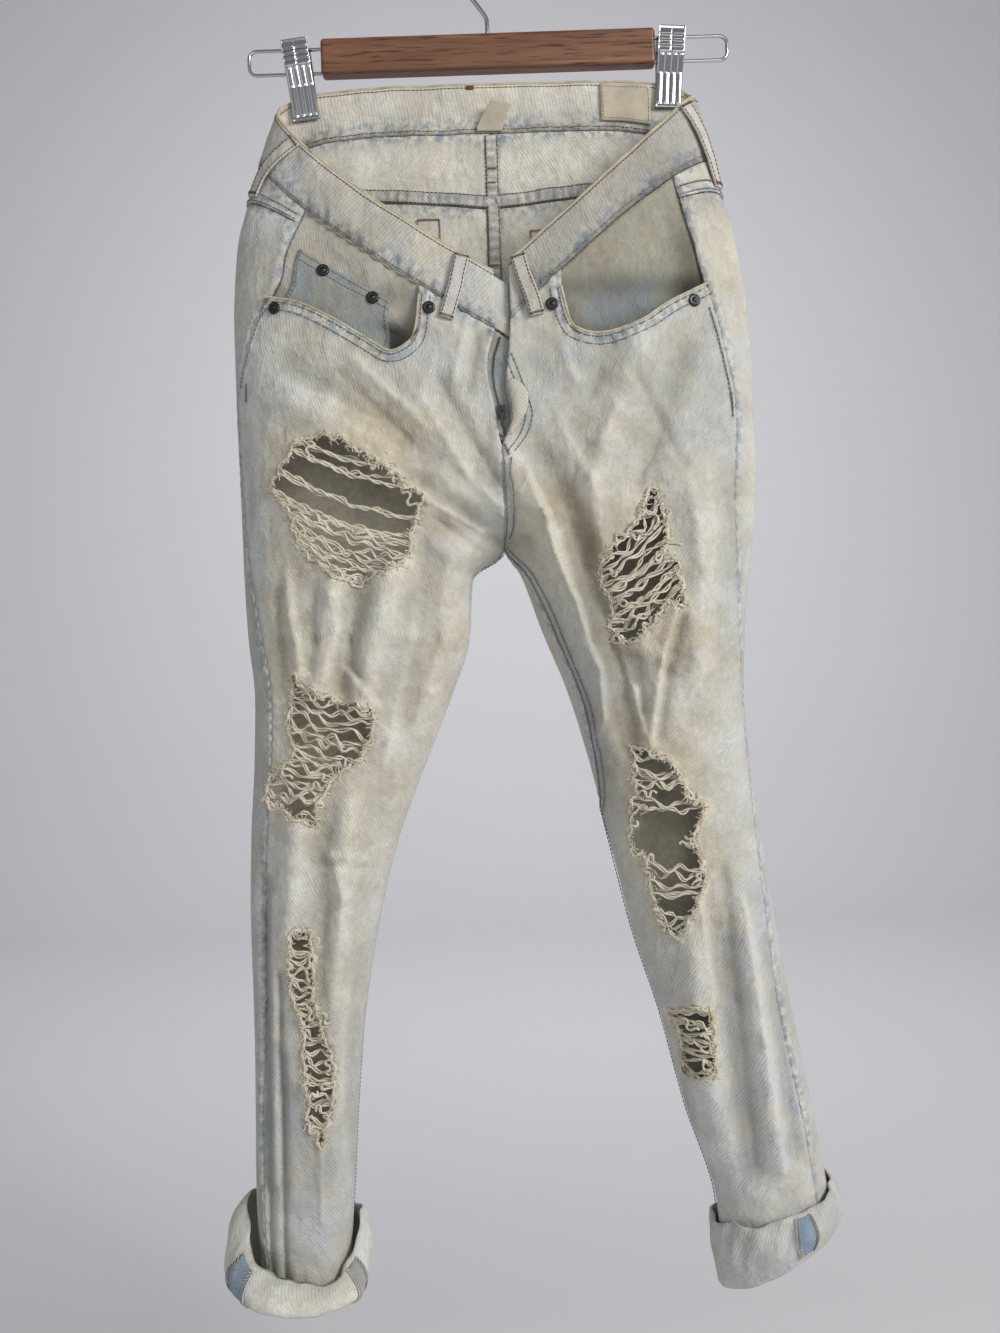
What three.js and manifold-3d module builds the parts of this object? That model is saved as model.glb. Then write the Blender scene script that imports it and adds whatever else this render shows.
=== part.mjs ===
// Ripped jeans with turned-up legs, hanging from a wooden clip hanger.
// Millimetres, Z up, X to the viewer's right, the front faces -Y, the origin is the inner top of the hook.
import * as THREE from 'three';
import { mergeVertices } from 'three/addons/utils/BufferGeometryUtils.js';
import Module from 'manifold-3d';

const wasm = await Module();
wasm.setup();

// Cloth sizes
const SEAM_GAP = 0.3;
const DENIM = 1.2;
const BAND_WALL = 2.4;
const FACING_WALL = 1;
const LOOP_WIDTH = 11;
const LOOP_WALL = 1.6;
const LOOP_ARCH = 2.2;
const LOOP_STAND = 0.7;
const LOOP_TOP = 0.03;
const LOOP_DROP = 1.35;
const POCKET_WALL = 1.3;
const CUFF_WALL = 2.2;
const CUFF_AIR = 2;
const RIVET_RADIUS = 4.7;
const RIVET_HEIGHT = 2.1;
const THREAD_BUNDLE = 2.6;

// Hanger sizes
const BAR = { length: 262, height: 28, depth: 14, top: -62, round: 3 };
const BOW = { radius: 1.4, upper: -68, lower: -87, reach: 188 };
const HOOK = { radius: 1.7, inner: 17, stemTop: -46, neckDrop: 6, neckX: -1.5 };
const HOOK_TURN = { from: 232, to: -25 };
const CLIP = { width: 20.5, wall: 1.2, top: -63, bendTop: -82, jawTop: -97, bottom: -124 };
const CLIP_SPREAD = { bend: 5.5, top: 7.5 };
const CLIP_SPRING = { radius: 7.1, width: 10.2 };
const HELD_BAND = { front: -0.6, back: 2.2 };

// Zip sizes
const ZIP = { x: 0.9, row: 2.47, standOff: 1.6, sliderZ: -372, width: 6, height: 9, wall: 2.6 };
const PULL_TAB = { width: 3.6, footWidth: 2.9, length: 13, wall: 1, slotWidth: 2.2, slotFoot: 3.2 };
const BAIL = { wall: 0.8, depth: 2.6, height: 3.8, width: 1.2, axisOut: 0.95, axisUp: 1.5, sunk: 0.1 };
const ZIP_TAPE = { top: 1.03, foot: 2.9, behind: 8, past: 3.5, wall: 1 };
const FLY_SHIELD = { top: 1.03, foot: 3, from: -14, to: 14 };
const UNDERLAP = { top: 0.05, foot: 0.97, from: -14, to: 9, wall: 2 };

// Label and loop tag sizes
const LABEL = { top: 0.05, foot: 0.84, from: 87, to: 126, wall: 0.8 };
const LOOP_TAG = { top: 0.58, foot: 0.98, from: 9, to: -11, wall: 1.4 };

// Rows run from the waistband's top edge to the fold of the cuff. Row 1 is the waist seam, row 5 the crotch.
const WAIST_SEAM = 1;
const CROTCH = 5;
const HEM = 15;

// Sections that both halves share. inZ and backZ are the heights of the centre front and centre back,
// cut is 0 where the half is open at the centre and -1 where the leg closes on itself.
const SHARED_COLUMNS = [
  'inZ', 'backZ', 'cut', 'midY', 'front', 'back', 'frontCorner', 'backCorner', 'backEase',
];
const SHARED_ROWS = [
  [-269, -100, 0, -14, 48, 16, 150, 8, 6],
  [-313, -138, 0, -16, 50, 18, 150, 12, 6],
  [-353, -200, 0, -22, 46, 28, 110, 40, 3],
  [-393, -275, 0, -25, 42, 34, 90, 70, 1.5],
  [-433, -362, -0.35, -27, 40, 37, 80, 80, 1],
  [-466, -466, -1, -28, 40, 38, 75, 80, 1],
  [-491, -491, -1, -28, 42, 38, 70, 80, 1],
  [-535, -535, -1, -28, 42, 38, 66, 80, 1],
  [-578, -578, -1, -28, 40, 36, 60, 80, 1],
  [-630, -630, -1, -28, 38, 35, 55, 70, 1],
  [-691, -691, -1, -28, 37, 34, 50, 60, 1],
  [-760, -760, -1, -27, 36, 33, 45, 55, 1],
  [-828, -828, -1, -27, 35, 32, 42, 50, 1],
  [-897, -897, -1, -26, 34, 31, 40, 45, 1],
  [-972, -972, -1, -26, 32, 30, 38, 40, 1],
  [-1029, -1029, -1, -26, 30, 29, 36, 38, 1],
];

// Outer and inner outline of each half, how far the side seam and the inseam lie in from them,
// and how the front edge drops from the side to the centre.
const SIDE_COLUMNS = ['outX', 'outZ', 'inX', 'seam', 'inseam', 'drop'];
const LEFT_ROWS = [
  [-170, -113, 0, 44, 0, 0.65],
  [-180, -166, 0, 39, 0, 0.75],
  [-197.5, -235, 0, 40, 0, 1],
  [-201, -294, 0, 18, 0, 1],
  [-200.5, -356, 0, 4, 0, 1],
  [-199.5, -425, 0, 5, 0, 1],
  [-199, -478, -25, 9, -6, 1],
  [-197.5, -528, -29, 15, -6, 1],
  [-194, -574, -44, 18, -6, 1],
  [-196, -623, -66, 18, -6, 1],
  [-200.5, -684, -90, 17, -6, 1],
  [-203, -753, -108, 15, -6, 1],
  [-203, -822, -120, 12, -6, 1],
  [-204.5, -890, -127, 9, -6, 1],
  [-206, -961, -133, 10, -6, 1],
  [-203, -1024, -137, 10, -6, 1],
];
const RIGHT_ROWS = [
  [164, -116, 0, 42, 0, 0.9],
  [170, -176, 0, 35, 0, 1.2],
  [184.5, -241, 0, 35, 0, 1],
  [192, -307, 0, 27, 0, 1],
  [193, -369, 0, 19, 0, 1],
  [192, -434, 0, 22, 0, 1],
  [185.5, -491, 12, 15, 4, 1],
  [180, -541, 27, 8.5, 8, 1],
  [178, -586, 43.5, 5, 8, 1],
  [180.5, -636, 58, 5, 4, 1],
  [188, -698, 72, 8.5, -2, 1],
  [197.5, -767, 87, 12, -4, 1],
  [208, -836, 107, 14, -4, 1],
  [220.5, -905, 123.5, 14, -4, 1],
  [228.5, -959, 145, 15, -4, 1],
  [232, -983, 148, 15, -4, 1],
];

// The largest folds, each a straight ridge (height above 0) or trough (below 0) with its half width.
const FOLD_COLUMNS = ['x0', 'z0', 'x1', 'z1', 'width', 'height'];
const FRONT_FOLDS = [
  [-12, -440, -147, -359, 12, 5],
  [-30, -425, -150, -335, 10, -4],
  [-19, -455, -60, -418, 9, -5],
  [-130, -500, -138, -555, 10, 5],
  [-108, -500, -122, -567, 9, -6],
  [-84, -490, -109, -571, 11, 6],
  [-60, -480, -75, -575, 10, -5],
  [-186, -723, -192, -935, 7, -5],
  [-160, -673, -170, -753, 10, 5],
  [-121, -663, -134, -798, 10, 6],
  [-142, -690, -146, -760, 9, -4],
  [-134, -805, -140, -937, 9, 5],
  [12, -419, 32, -467, 13, 8],
  [32, -467, 58, -558, 13, 9],
  [58, -558, 68, -610, 12, 7],
  [34, -416, 56, -468, 11, -6],
  [56, -468, 83, -559, 11, -7],
  [83, -559, 88, -615, 10, -5],
  [103, -327, 69, -417, 13, 5],
  [135, -332, 107, -422, 12, -4],
  [150, -440, 140, -560, 12, 5],
  [127, -770, 138, -928, 9, 5],
  [148, -767, 161, -929, 9, -6],
  [167, -761, 183, -926, 9, 6],
  [188, -780, 201, -919, 8, -5],
];
const BACK_FOLDS = [
  [-40, -455, -150, -330, 16, 5],
  [40, -455, 150, -335, 16, 5],
  [-110, -470, -125, -600, 14, -6],
  [-150, -520, -160, -680, 13, 6],
  [-145, -700, -160, -930, 12, -5],
  [-170, -720, -180, -900, 11, 5],
  [85, -480, 95, -610, 14, -6],
  [130, -500, 125, -690, 13, 6],
  [140, -700, 175, -930, 12, -5],
  [170, -720, 195, -900, 11, 5],
];

// Rips: each is cut as a ladder of slits across its axis, with bundles of threads left between them.
// tilt is the drop of the slits per millimetre to the right, reach the slits' ends to the left and right
// of the axis at its top, its middle and its foot.
const RIP_COLUMNS = ['side', 'top', 'foot', 'tilt', 'slits', 'left', 'right'];
const RIP_ROWS = [
  ['left', [-141, -386], [-106, -496], 0.42, 6, [16, 38, 22], [34, 64, 20]],
  ['left', [-150, -566], [-157, -662], 0.2, 6, [6, 8, 20], [34, 48, 14]],
  ['left', [-157, -748], [-151, -906], 0.3, 8, [9, 9, 7], [8, 10, 7]],
  ['right', [109, -433], [87, -542], -1, 6, [10, 34, 16], [8, 32, 24]],
  ['right', [104, -625], [117, -760], 0.1, 7, [14, 25, 8], [14, 26, 9]],
  ['right', [123, -814], [126, -868], 0.05, 4, [12, 11, 10], [15, 17, 13]],
];

// Edges of the open fly, measured from the centre front.
const FLY_COLUMNS = ['z', 'left', 'right'];
const FLY_EDGE = [
  [-398, 0, 0],
  [-392, -1.8, 3.2],
  [-382, -2.2, 6.8],
  [-371, -4.5, 6.5],
  [-357, -8, 4.2],
  [-347, -9, 5],
  [-335, -8, 7],
  [-313, -2, 9.5],
];

// Front pocket openings: the curve from the side seam to the waist seam.
const POCKET_OPENINGS = {
  left: [
    [-172, -279], [-146, -286], [-117, -302], [-92, -318],
    [-80, -325], [-69, -322], [-61, -312], [-57, -284],
  ],
  right: [
    [156, -280], [128, -294], [107, -308], [88, -315],
    [73, -317], [62, -315], [53, -308], [47, -282],
  ],
};

const BELT_LOOPS = [
  { name: 'belt_loop_front_left', side: 'left', topX: -24, footX: -38 },
  { name: 'belt_loop_front_right', side: 'right', topX: 16, footX: 29 },
  { name: 'belt_loop_side_left', side: 'left', topX: -147, footX: -182 },
  { name: 'belt_loop_side_right', side: 'right', topX: 146, footX: 171 },
];

// Colours of the cloth, wood and metal
const cream = new THREE.MeshStandardMaterial({ color: 0xd8d2bf, roughness: 0.95, metalness: 0 });
const fadedBlue = new THREE.MeshStandardMaterial({ color: 0x9fa9b4, roughness: 0.95, metalness: 0 });
const bareCloth = new THREE.MeshStandardMaterial({ color: 0xe6e0cf, roughness: 0.95, metalness: 0 });
const darkMetal = new THREE.MeshStandardMaterial({ color: 0x4a4a48, roughness: 0.4, metalness: 1 });
const chrome = new THREE.MeshStandardMaterial({ color: 0xc9cbcc, roughness: 0.2, metalness: 1 });
const wood = new THREE.MeshStandardMaterial({ color: 0x8a4a2c, roughness: 0.45, metalness: 0 });

const group = new THREE.Group();
group.name = 'ripped_jeans_on_hanger';

function addPart(name, geometry, material) {
  const mesh = new THREE.Mesh(geometry, material);
  mesh.name = name;
  group.add(mesh);
  return mesh;
}

const mix = (a, b, t) => a + (b - a) * t;
const smooth = (a, b, t) => THREE.MathUtils.smoothstep(t, a, b);

// A smooth curve through evenly spaced values that never overshoots them.
function smoothColumn(values) {
  const last = values.length - 1;
  const rise = (i) => values[i + 1] - values[i];
  const slopes = values.map((value, i) => {
    if (i === 0) return rise(0);
    if (i === last) return rise(last - 1);
    const before = rise(i - 1);
    const after = rise(i);
    return before * after > 0 ? (2 * before * after) / (before + after) : 0;
  });
  return (v) => {
    const i = Math.min(Math.max(Math.floor(v), 0), last - 1);
    const t = v - i;
    const u = 1 - t;
    const ends = values[i] * (1 + 2 * t) * u * u + values[i + 1] * t * t * (3 - 2 * t);
    return ends + slopes[i] * t * u * u - slopes[i + 1] * t * t * u;
  };
}

function smoothTable(columns, rows) {
  const curves = columns.map((name, c) => [name, smoothColumn(rows.map((row) => row[c]))]);
  return (v) => Object.fromEntries(curves.map(([name, curve]) => [name, curve(v)]));
}

const sharedAt = smoothTable(SHARED_COLUMNS, SHARED_ROWS);

function makeSide(name, sign, rows) {
  const ownAt = smoothTable(SIDE_COLUMNS, rows);
  return { name, sign, at: (v) => ({ ...sharedAt(v), ...ownAt(v) }) };
}

const sides = {
  left: makeSide('left', -1, LEFT_ROWS),
  right: makeSide('right', 1, RIGHT_ROWS),
};

const named = (columns, row) => Object.fromEntries(columns.map((name, c) => [name, row[c]]));
const frontFolds = FRONT_FOLDS.map((row) => named(FOLD_COLUMNS, row));
const backFolds = BACK_FOLDS.map((row) => named(FOLD_COLUMNS, row));
const flyEdge = FLY_EDGE.map((row) => named(FLY_COLUMNS, row));
const rips = RIP_ROWS.map((row) => named(RIP_COLUMNS, row));

// Height of the folds at a place, each with a bell-shaped section that fades out at its ends.
function foldHeight(folds, x, z) {
  let height = 0;
  for (const fold of folds) {
    const dx = fold.x1 - fold.x0;
    const dz = fold.z1 - fold.z0;
    const length = Math.hypot(dx, dz);
    const along = ((x - fold.x0) * dx + (z - fold.z0) * dz) / length;
    const off = ((x - fold.x0) * dz - (z - fold.z0) * dx) / length;
    const past = Math.max(-along, along - length, 0);
    height += fold.height * Math.exp(-((off / fold.width) ** 2) - (past / (2 * fold.width)) ** 2);
  }
  return height;
}

function flyOffset(sideName, z) {
  const next = flyEdge.findIndex((row) => row.z > z);
  if (next === 0) return 0;
  if (next < 0) return flyEdge.at(-1)[sideName];
  const a = flyEdge[next - 1];
  const b = flyEdge[next];
  return mix(a[sideName], b[sideName], (z - a.z) / (b.z - a.z));
}

const roundedEnd = (distance, corner) => Math.sqrt(1 - (1 - Math.min(distance / corner, 1)) ** 2);

// A point of the outer face. The angle is 0 at the outer outline, up to PI across the front to the inner
// outline, and below 0 round the back.
function jeansPoint(side, v, angle) {
  const row = side.at(v);
  const along = Math.cos(angle);
  const across = (1 - along) / (1 - row.cut);
  const span = row.inX - row.outX;
  const x = row.outX + span * across;
  const full = (Math.abs(span) * 2) / (1 - row.cut);
  const isFront = Math.sin(angle) > 0;
  const corner = Math.min(isFront ? row.frontCorner : row.backCorner, full / 2);
  const bulge = roundedEnd((full * (1 - along)) / 2, corner) * roundedEnd((full * (1 + along)) / 2, corner);
  if (isFront) {
    const z = row.outZ + (row.inZ - row.outZ) * across ** row.drop;
    const y = row.midY - (row.front + foldHeight(frontFolds, x, z)) * bulge;
    return new THREE.Vector3(x, y, z);
  }
  const rise = 1 - (1 - Math.min(across, 1)) ** row.backEase;
  const z = row.outZ + (row.backZ - row.outZ) * rise;
  const y = row.midY + (row.back + foldHeight(backFolds, x, z)) * bulge;
  return new THREE.Vector3(x, y, z);
}

function outwardAt(side, v, angle) {
  const step = 0.002;
  const round = jeansPoint(side, v, angle + step).sub(jeansPoint(side, v, angle - step));
  const low = Math.max(v - step, 0);
  const high = Math.min(v + step, HEM);
  const down = jeansPoint(side, high, angle).sub(jeansPoint(side, low, angle));
  return round.cross(down).multiplyScalar(side.sign).normalize();
}

// A point moved out from the outer face, or in where the distance is below 0.
function offsetPoint(side, v, angle, distance) {
  return jeansPoint(side, v, angle).addScaledVector(outwardAt(side, v, angle), distance);
}

function angleAtX(side, v, x) {
  const row = side.at(v);
  const across = (x - row.outX) / (row.inX - row.outX);
  return Math.acos(THREE.MathUtils.clamp(1 - across * (1 - row.cut), -1, 1));
}

// Moves an angle along the section by a length in millimetres.
function nudged(side, v, angle, length) {
  const step = 0.002;
  const speed = jeansPoint(side, v, angle + step).distanceTo(jeansPoint(side, v, angle - step)) / (2 * step);
  return angle + length / speed;
}

function sideSeamAngle(side, v) {
  const row = side.at(v);
  return angleAtX(side, v, row.outX - side.sign * row.seam);
}

function inseamAngle(side, v) {
  const row = side.at(v);
  const share = Math.min((2 * Math.abs(row.inseam)) / Math.abs(row.inX - row.outX), 1);
  return Math.PI - Math.sign(row.inseam) * Math.acos(1 - share);
}

function frontEdgeAngle(side, v) {
  if (v > CROTCH) return inseamAngle(side, v);
  return angleAtX(side, v, flyOffset(side.name, side.at(v).inZ));
}

function backEdgeAngle(side, v) {
  if (v > CROTCH) return inseamAngle(side, v) - 2 * Math.PI;
  return -angleAtX(side, v, 0);
}

function indexedGeometry(points, triangles) {
  const geometry = new THREE.BufferGeometry().setFromPoints(points);
  geometry.setIndex(triangles.flat());
  geometry.computeVertexNormals();
  return geometry;
}

// A closed wall between two grids of points, joined round the rim.
function wallGeometry(rowCount, columnCount, pointsAt, flip) {
  const points = [];
  for (const face of [0, 1]) {
    for (let i = 0; i <= rowCount; i += 1) {
      for (let j = 0; j <= columnCount; j += 1) points.push(pointsAt(i / rowCount, j / columnCount)[face]);
    }
  }
  const stride = columnCount + 1;
  const inside = (rowCount + 1) * stride;
  const triangles = [];
  const quad = (a, b, c, d) => {
    if (flip) triangles.push([a, c, b], [a, d, c]);
    else triangles.push([a, b, c], [a, c, d]);
  };
  for (let i = 0; i < rowCount; i += 1) {
    for (let j = 0; j < columnCount; j += 1) {
      const a = i * stride + j;
      quad(a, a + stride, a + stride + 1, a + 1);
      quad(a + inside, a + inside + 1, a + inside + stride + 1, a + inside + stride);
    }
  }
  for (let j = 0; j < columnCount; j += 1) {
    const foot = rowCount * stride + j;
    quad(j, j + 1, j + 1 + inside, j + inside);
    quad(foot + 1, foot, foot + inside, foot + 1 + inside);
  }
  for (let i = 0; i < rowCount; i += 1) {
    const start = i * stride;
    const end = start + columnCount;
    quad(start + stride, start, start + inside, start + stride + inside);
    quad(end, end + stride, end + stride + inside, end + inside);
  }
  return indexedGeometry(points, triangles);
}

// A closed tube of sections, joined both along and round.
function ringGeometry(sections, flip) {
  const size = sections[0].length;
  const triangles = [];
  sections.forEach((section, i) => {
    const next = (i + 1) % sections.length;
    for (let j = 0; j < size; j += 1) {
      const k = (j + 1) % size;
      const corners = [i * size + j, next * size + j, next * size + k, i * size + k];
      const [a, b, c, d] = flip ? corners.reverse() : corners;
      triangles.push([a, b, c], [a, c, d]);
    }
  });
  return indexedGeometry(sections.flat(), triangles);
}

function toSolid(geometry) {
  const bare = geometry.clone();
  bare.deleteAttribute('normal');
  bare.deleteAttribute('uv');
  const merged = mergeVertices(bare, 1e-4);
  const mesh = new wasm.Mesh({
    numProp: 3,
    vertProperties: new Float32Array(merged.attributes.position.array),
    triVerts: new Uint32Array(merged.index.array),
  });
  mesh.merge();
  return new wasm.Manifold(mesh);
}

function toGeometry(solid) {
  const mesh = solid.getMesh();
  const geometry = new THREE.BufferGeometry();
  geometry.setAttribute('position', new THREE.BufferAttribute(new Float32Array(mesh.vertProperties), 3));
  geometry.setIndex(new THREE.BufferAttribute(new Uint32Array(mesh.triVerts), 1));
  geometry.computeVertexNormals();
  return geometry;
}

// A prism along Y from an outline in X and Z, between two depths.
function prismXZ(outline, nearY, farY) {
  const shape = new THREE.Shape(outline.map(([x, z]) => new THREE.Vector2(x, z)));
  const geometry = new THREE.ExtrudeGeometry(shape, { depth: farY - nearY, bevelEnabled: false });
  geometry.rotateX(Math.PI / 2);
  geometry.translate(0, farY, 0);
  return geometry;
}

// A patch of wall over a range of rows and angles. outer and inner give the distances from the panel's face.
function patch(side, rowCount, columnCount, range, outer, inner) {
  const pointsAt = (i, j) => {
    const v = range.row(i, j);
    const angle = range.angle(v, j, i);
    return [offsetPoint(side, v, angle, outer(i, j)), offsetPoint(side, v, angle, inner(i, j))];
  };
  return wallGeometry(rowCount, columnCount, pointsAt, side.sign > 0);
}

const constant = (value) => () => value;
const halfGap = SEAM_GAP / 2;
const topGap = 0.013;

function slitOutline(rip, index) {
  const t = (index + 0.5) / rip.slits;
  const bend = (ends) => (t < 0.5 ? mix(ends[0], ends[1], t * 2) : mix(ends[1], ends[2], t * 2 - 1));
  const centre = [mix(rip.top[0], rip.foot[0], t), mix(rip.top[1], rip.foot[1], t)];
  const lean = Math.hypot(1, rip.tilt);
  const along = [1 / lean, -rip.tilt / lean];
  const down = [along[1], -along[0]];
  const axis = [rip.foot[0] - rip.top[0], rip.foot[1] - rip.top[1]];
  const pitch = Math.abs(axis[0] * down[0] + axis[1] * down[1]) / rip.slits;
  const half = (pitch - THREAD_BUNDLE) / 2;
  const left = bend(rip.left);
  const right = bend(rip.right);
  const slope = Math.min(half * 1.2, (left + right) / 3);
  const corners = [
    [-left, 0], [slope - left, half], [right - slope, half],
    [right, 0], [right - slope, -half], [slope - left, -half],
  ];
  const place = (a, d, axisIndex) => centre[axisIndex] + a * along[axisIndex] + d * down[axisIndex];
  return corners.map(([a, d]) => [place(a, d, 0), place(a, d, 1)]);
}

const CUT_NEAR = -140;
const CUT_FAR = -22;
const CUT_TOP = -120;
const CUT_PAST_SIDE = 60;
const PANEL_ROWS = 34;
const FRONT_COLUMNS = 14;
const BACK_COLUMNS = 10;
const panelRow = (i) => mix(WAIST_SEAM + topGap, HEM, i);

// Angles across a panel, by the share of the way from the side seam or from the centre back.
function frontAngle(side, v, share) {
  const start = nudged(side, v, sideSeamAngle(side, v), halfGap);
  return mix(start, nudged(side, v, frontEdgeAngle(side, v), -halfGap), share);
}

function backAngle(side, v, share) {
  const start = nudged(side, v, backEdgeAngle(side, v), halfGap);
  return mix(start, nudged(side, v, sideSeamAngle(side, v), -halfGap), share);
}

function frontPanel(side) {
  const range = { row: panelRow, angle: (v, j) => frontAngle(side, v, j) };
  const wall = patch(side, PANEL_ROWS, FRONT_COLUMNS, range, constant(0), constant(-DENIM));
  const opening = POCKET_OPENINGS[side.name];
  const outer = opening[0][0] + side.sign * CUT_PAST_SIDE;
  const cuts = [[...opening, [opening.at(-1)[0], CUT_TOP], [outer, CUT_TOP], [outer, opening[0][1]]]];
  for (const rip of rips.filter((row) => row.side === side.name)) {
    for (let index = 0; index < rip.slits; index += 1) cuts.push(slitOutline(rip, index));
  }
  let solid = toSolid(wall);
  for (const outline of cuts) solid = solid.subtract(toSolid(prismXZ(outline, CUT_NEAR, CUT_FAR)));
  return toGeometry(solid);
}

// The yoke seam drops from the side seam to the centre back.
const YOKE_AT_SIDE = 1.28;
const YOKE_AT_BACK = 1.95;
const YOKE_ROW_STEP = 0.42;
const yokeRow = (j) => mix(YOKE_AT_BACK, YOKE_AT_SIDE, j);

function backRange(side, row) {
  return { row, angle: (v, j) => backAngle(side, v, j) };
}

function yoke(side) {
  const range = backRange(side, (i, j) => mix(WAIST_SEAM + topGap, yokeRow(j), i));
  return patch(side, 2, BACK_COLUMNS, range, constant(0), constant(-DENIM));
}

// Below the yoke the back's rows are the front's, so that the two meet along the seams.
function backPanel(side) {
  const firstShared = 3;
  const rowCount = PANEL_ROWS - firstShared + 2;
  const range = backRange(side, (i, j) => {
    const row = Math.round(i * rowCount);
    const top = yokeRow(j) + topGap;
    const shared = Math.max(row - 2, 0) + firstShared;
    if (row < 2) return mix(top, panelRow(firstShared / PANEL_ROWS), row * YOKE_ROW_STEP);
    return panelRow(shared / PANEL_ROWS);
  });
  return patch(side, rowCount, BACK_COLUMNS, range, constant(0), constant(-DENIM));
}

for (const side of Object.values(sides)) {
  addPart(`front_panel_${side.name}`, frontPanel(side), cream);
  addPart(`yoke_${side.name}`, yoke(side), cream);
  addPart(`back_panel_${side.name}`, backPanel(side), cream);
}

// Waistband: one strip from the left end at the fly round the back to the right end, with a column at
// each column of the panels below it.
function waistband() {
  const path = [];
  for (let j = FRONT_COLUMNS; j > 0; j -= 1) path.push([sides.left, true, j / FRONT_COLUMNS]);
  for (let j = BACK_COLUMNS; j > 0; j -= 1) path.push([sides.left, false, j / BACK_COLUMNS]);
  for (let j = 0; j < BACK_COLUMNS; j += 1) path.push([sides.right, false, j / BACK_COLUMNS]);
  for (let j = 0; j <= FRONT_COLUMNS; j += 1) path.push([sides.right, true, j / FRONT_COLUMNS]);
  const columns = path.length - 1;
  const pointsAt = (i, j) => {
    const [side, isFront, share] = path[Math.round(j * columns)];
    const v = i * WAIST_SEAM;
    const far = isFront ? frontEdgeAngle(side, v) : backEdgeAngle(side, v);
    const near = sideSeamAngle(side, v);
    const angle = isFront ? mix(near, far, share) : mix(far, near, share);
    return [offsetPoint(side, v, angle, 0), offsetPoint(side, v, angle, -BAND_WALL)];
  };
  return wallGeometry(3, columns, pointsAt, true);
}
addPart('waistband', waistband(), cream);

// A strip behind the left half between two X limits, used at the fly.
function flyStrip(size, rowCount, limits, depth, wall) {
  const range = {
    row: (i) => mix(size.top, size.foot, i),
    angle: (v, j) => {
      const [from, to] = limits(v);
      return mix(angleAtX(sides.left, v, from), angleAtX(sides.left, v, to), j);
    },
  };
  return patch(sides.left, rowCount, 3, range, constant(-depth), constant(-depth - wall));
}

const underlapDepth = BAND_WALL + SEAM_GAP;
const underlapLimits = () => [UNDERLAP.from, UNDERLAP.to];
addPart('waistband_underlap', flyStrip(UNDERLAP, 2, underlapLimits, underlapDepth, UNDERLAP.wall), cream);

const zipDepth = DENIM + SEAM_GAP;
const zipLimits = (v) => {
  const edge = flyOffset('left', sharedAt(v).inZ);
  return [edge - ZIP_TAPE.behind, edge + ZIP_TAPE.past];
};
addPart('zip_tape', flyStrip(ZIP_TAPE, 8, zipLimits, zipDepth, ZIP_TAPE.wall), fadedBlue);
const shieldDepth = zipDepth + ZIP_TAPE.wall + 2 * SEAM_GAP;
const shieldLimits = () => [FLY_SHIELD.from, FLY_SHIELD.to];
addPart('fly_shield', flyStrip(FLY_SHIELD, 6, shieldLimits, shieldDepth, DENIM), fadedBlue);

// Front pocket facings hang behind the openings, and the coin pocket lies on the left one.
// Rows and columns are those of the front panel.
const facingRest = DENIM + SEAM_GAP;
const FACING = { gape: 4, columns: 11, rows: 5 };
const COIN = { firstRow: 1.45, lastRow: 3.45, firstColumn: 1, lastColumn: 8, gap: 0.6 };

function facingDepth(row, column) {
  const down = smooth(0, 0.3, row / FACING.rows);
  const across = column / FACING.columns;
  return facingRest + FACING.gape * down * smooth(0, 0.2, across) * (1 - smooth(0.75, 1, across));
}

// A patch on the facing between two rows and two columns, raised from it by the distances given.
function facingPatch(side, area, outer, inner) {
  const rowCount = area.lastRow - area.firstRow;
  const columnCount = area.lastColumn - area.firstColumn;
  const row = (i) => mix(area.firstRow, area.lastRow, i);
  const column = (j) => mix(area.firstColumn, area.lastColumn, j);
  const range = {
    row: (i) => panelRow(row(i) / PANEL_ROWS),
    angle: (v, j) => frontAngle(side, v, column(j) / FRONT_COLUMNS),
  };
  const depth = (i, j) => -facingDepth(row(i), column(j));
  const outerAt = (i, j) => depth(i, j) + outer;
  const innerAt = (i, j) => depth(i, j) + inner;
  return patch(side, rowCount, columnCount, range, outerAt, innerAt);
}

const facingArea = { firstRow: 0, lastRow: FACING.rows, firstColumn: 0, lastColumn: FACING.columns };
for (const side of Object.values(sides)) {
  addPart(`pocket_facing_${side.name}`, facingPatch(side, facingArea, 0, -FACING_WALL), fadedBlue);
}
addPart('coin_pocket', facingPatch(sides.left, COIN, COIN.gap + FACING_WALL, COIN.gap), cream);

// Back pockets: five-sided patches below the yoke, on the back panel's rows and columns.
const BACK_POCKET = { firstColumn: 1, lastColumn: 5, firstRow: 3, lastRow: 6, foot: 6.6, point: 0.9 };
const BACK_POCKET_GAP = { wall: 0.5, foot: 1 };
function backPocket(side) {
  const columns = BACK_POCKET.lastColumn - BACK_POCKET.firstColumn;
  const rows = BACK_POCKET.lastRow - BACK_POCKET.firstRow + 1;
  const pointed = (j) => BACK_POCKET.foot + BACK_POCKET.point * (1 - Math.abs(2 * j - 1));
  const range = {
    row: (i, j) => panelRow((i < 1 ? BACK_POCKET.firstRow + i * rows : pointed(j)) / PANEL_ROWS),
    angle: (v, j) => backAngle(side, v, (BACK_POCKET.firstColumn + columns * j) / BACK_COLUMNS),
  };
  const gap = (i) => (i < 1 ? BACK_POCKET_GAP.wall : BACK_POCKET_GAP.foot);
  return patch(side, rows, columns, range, (i) => gap(i) + POCKET_WALL, gap);
}
for (const side of Object.values(sides)) addPart(`back_pocket_${side.name}`, backPocket(side), cream);

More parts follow.
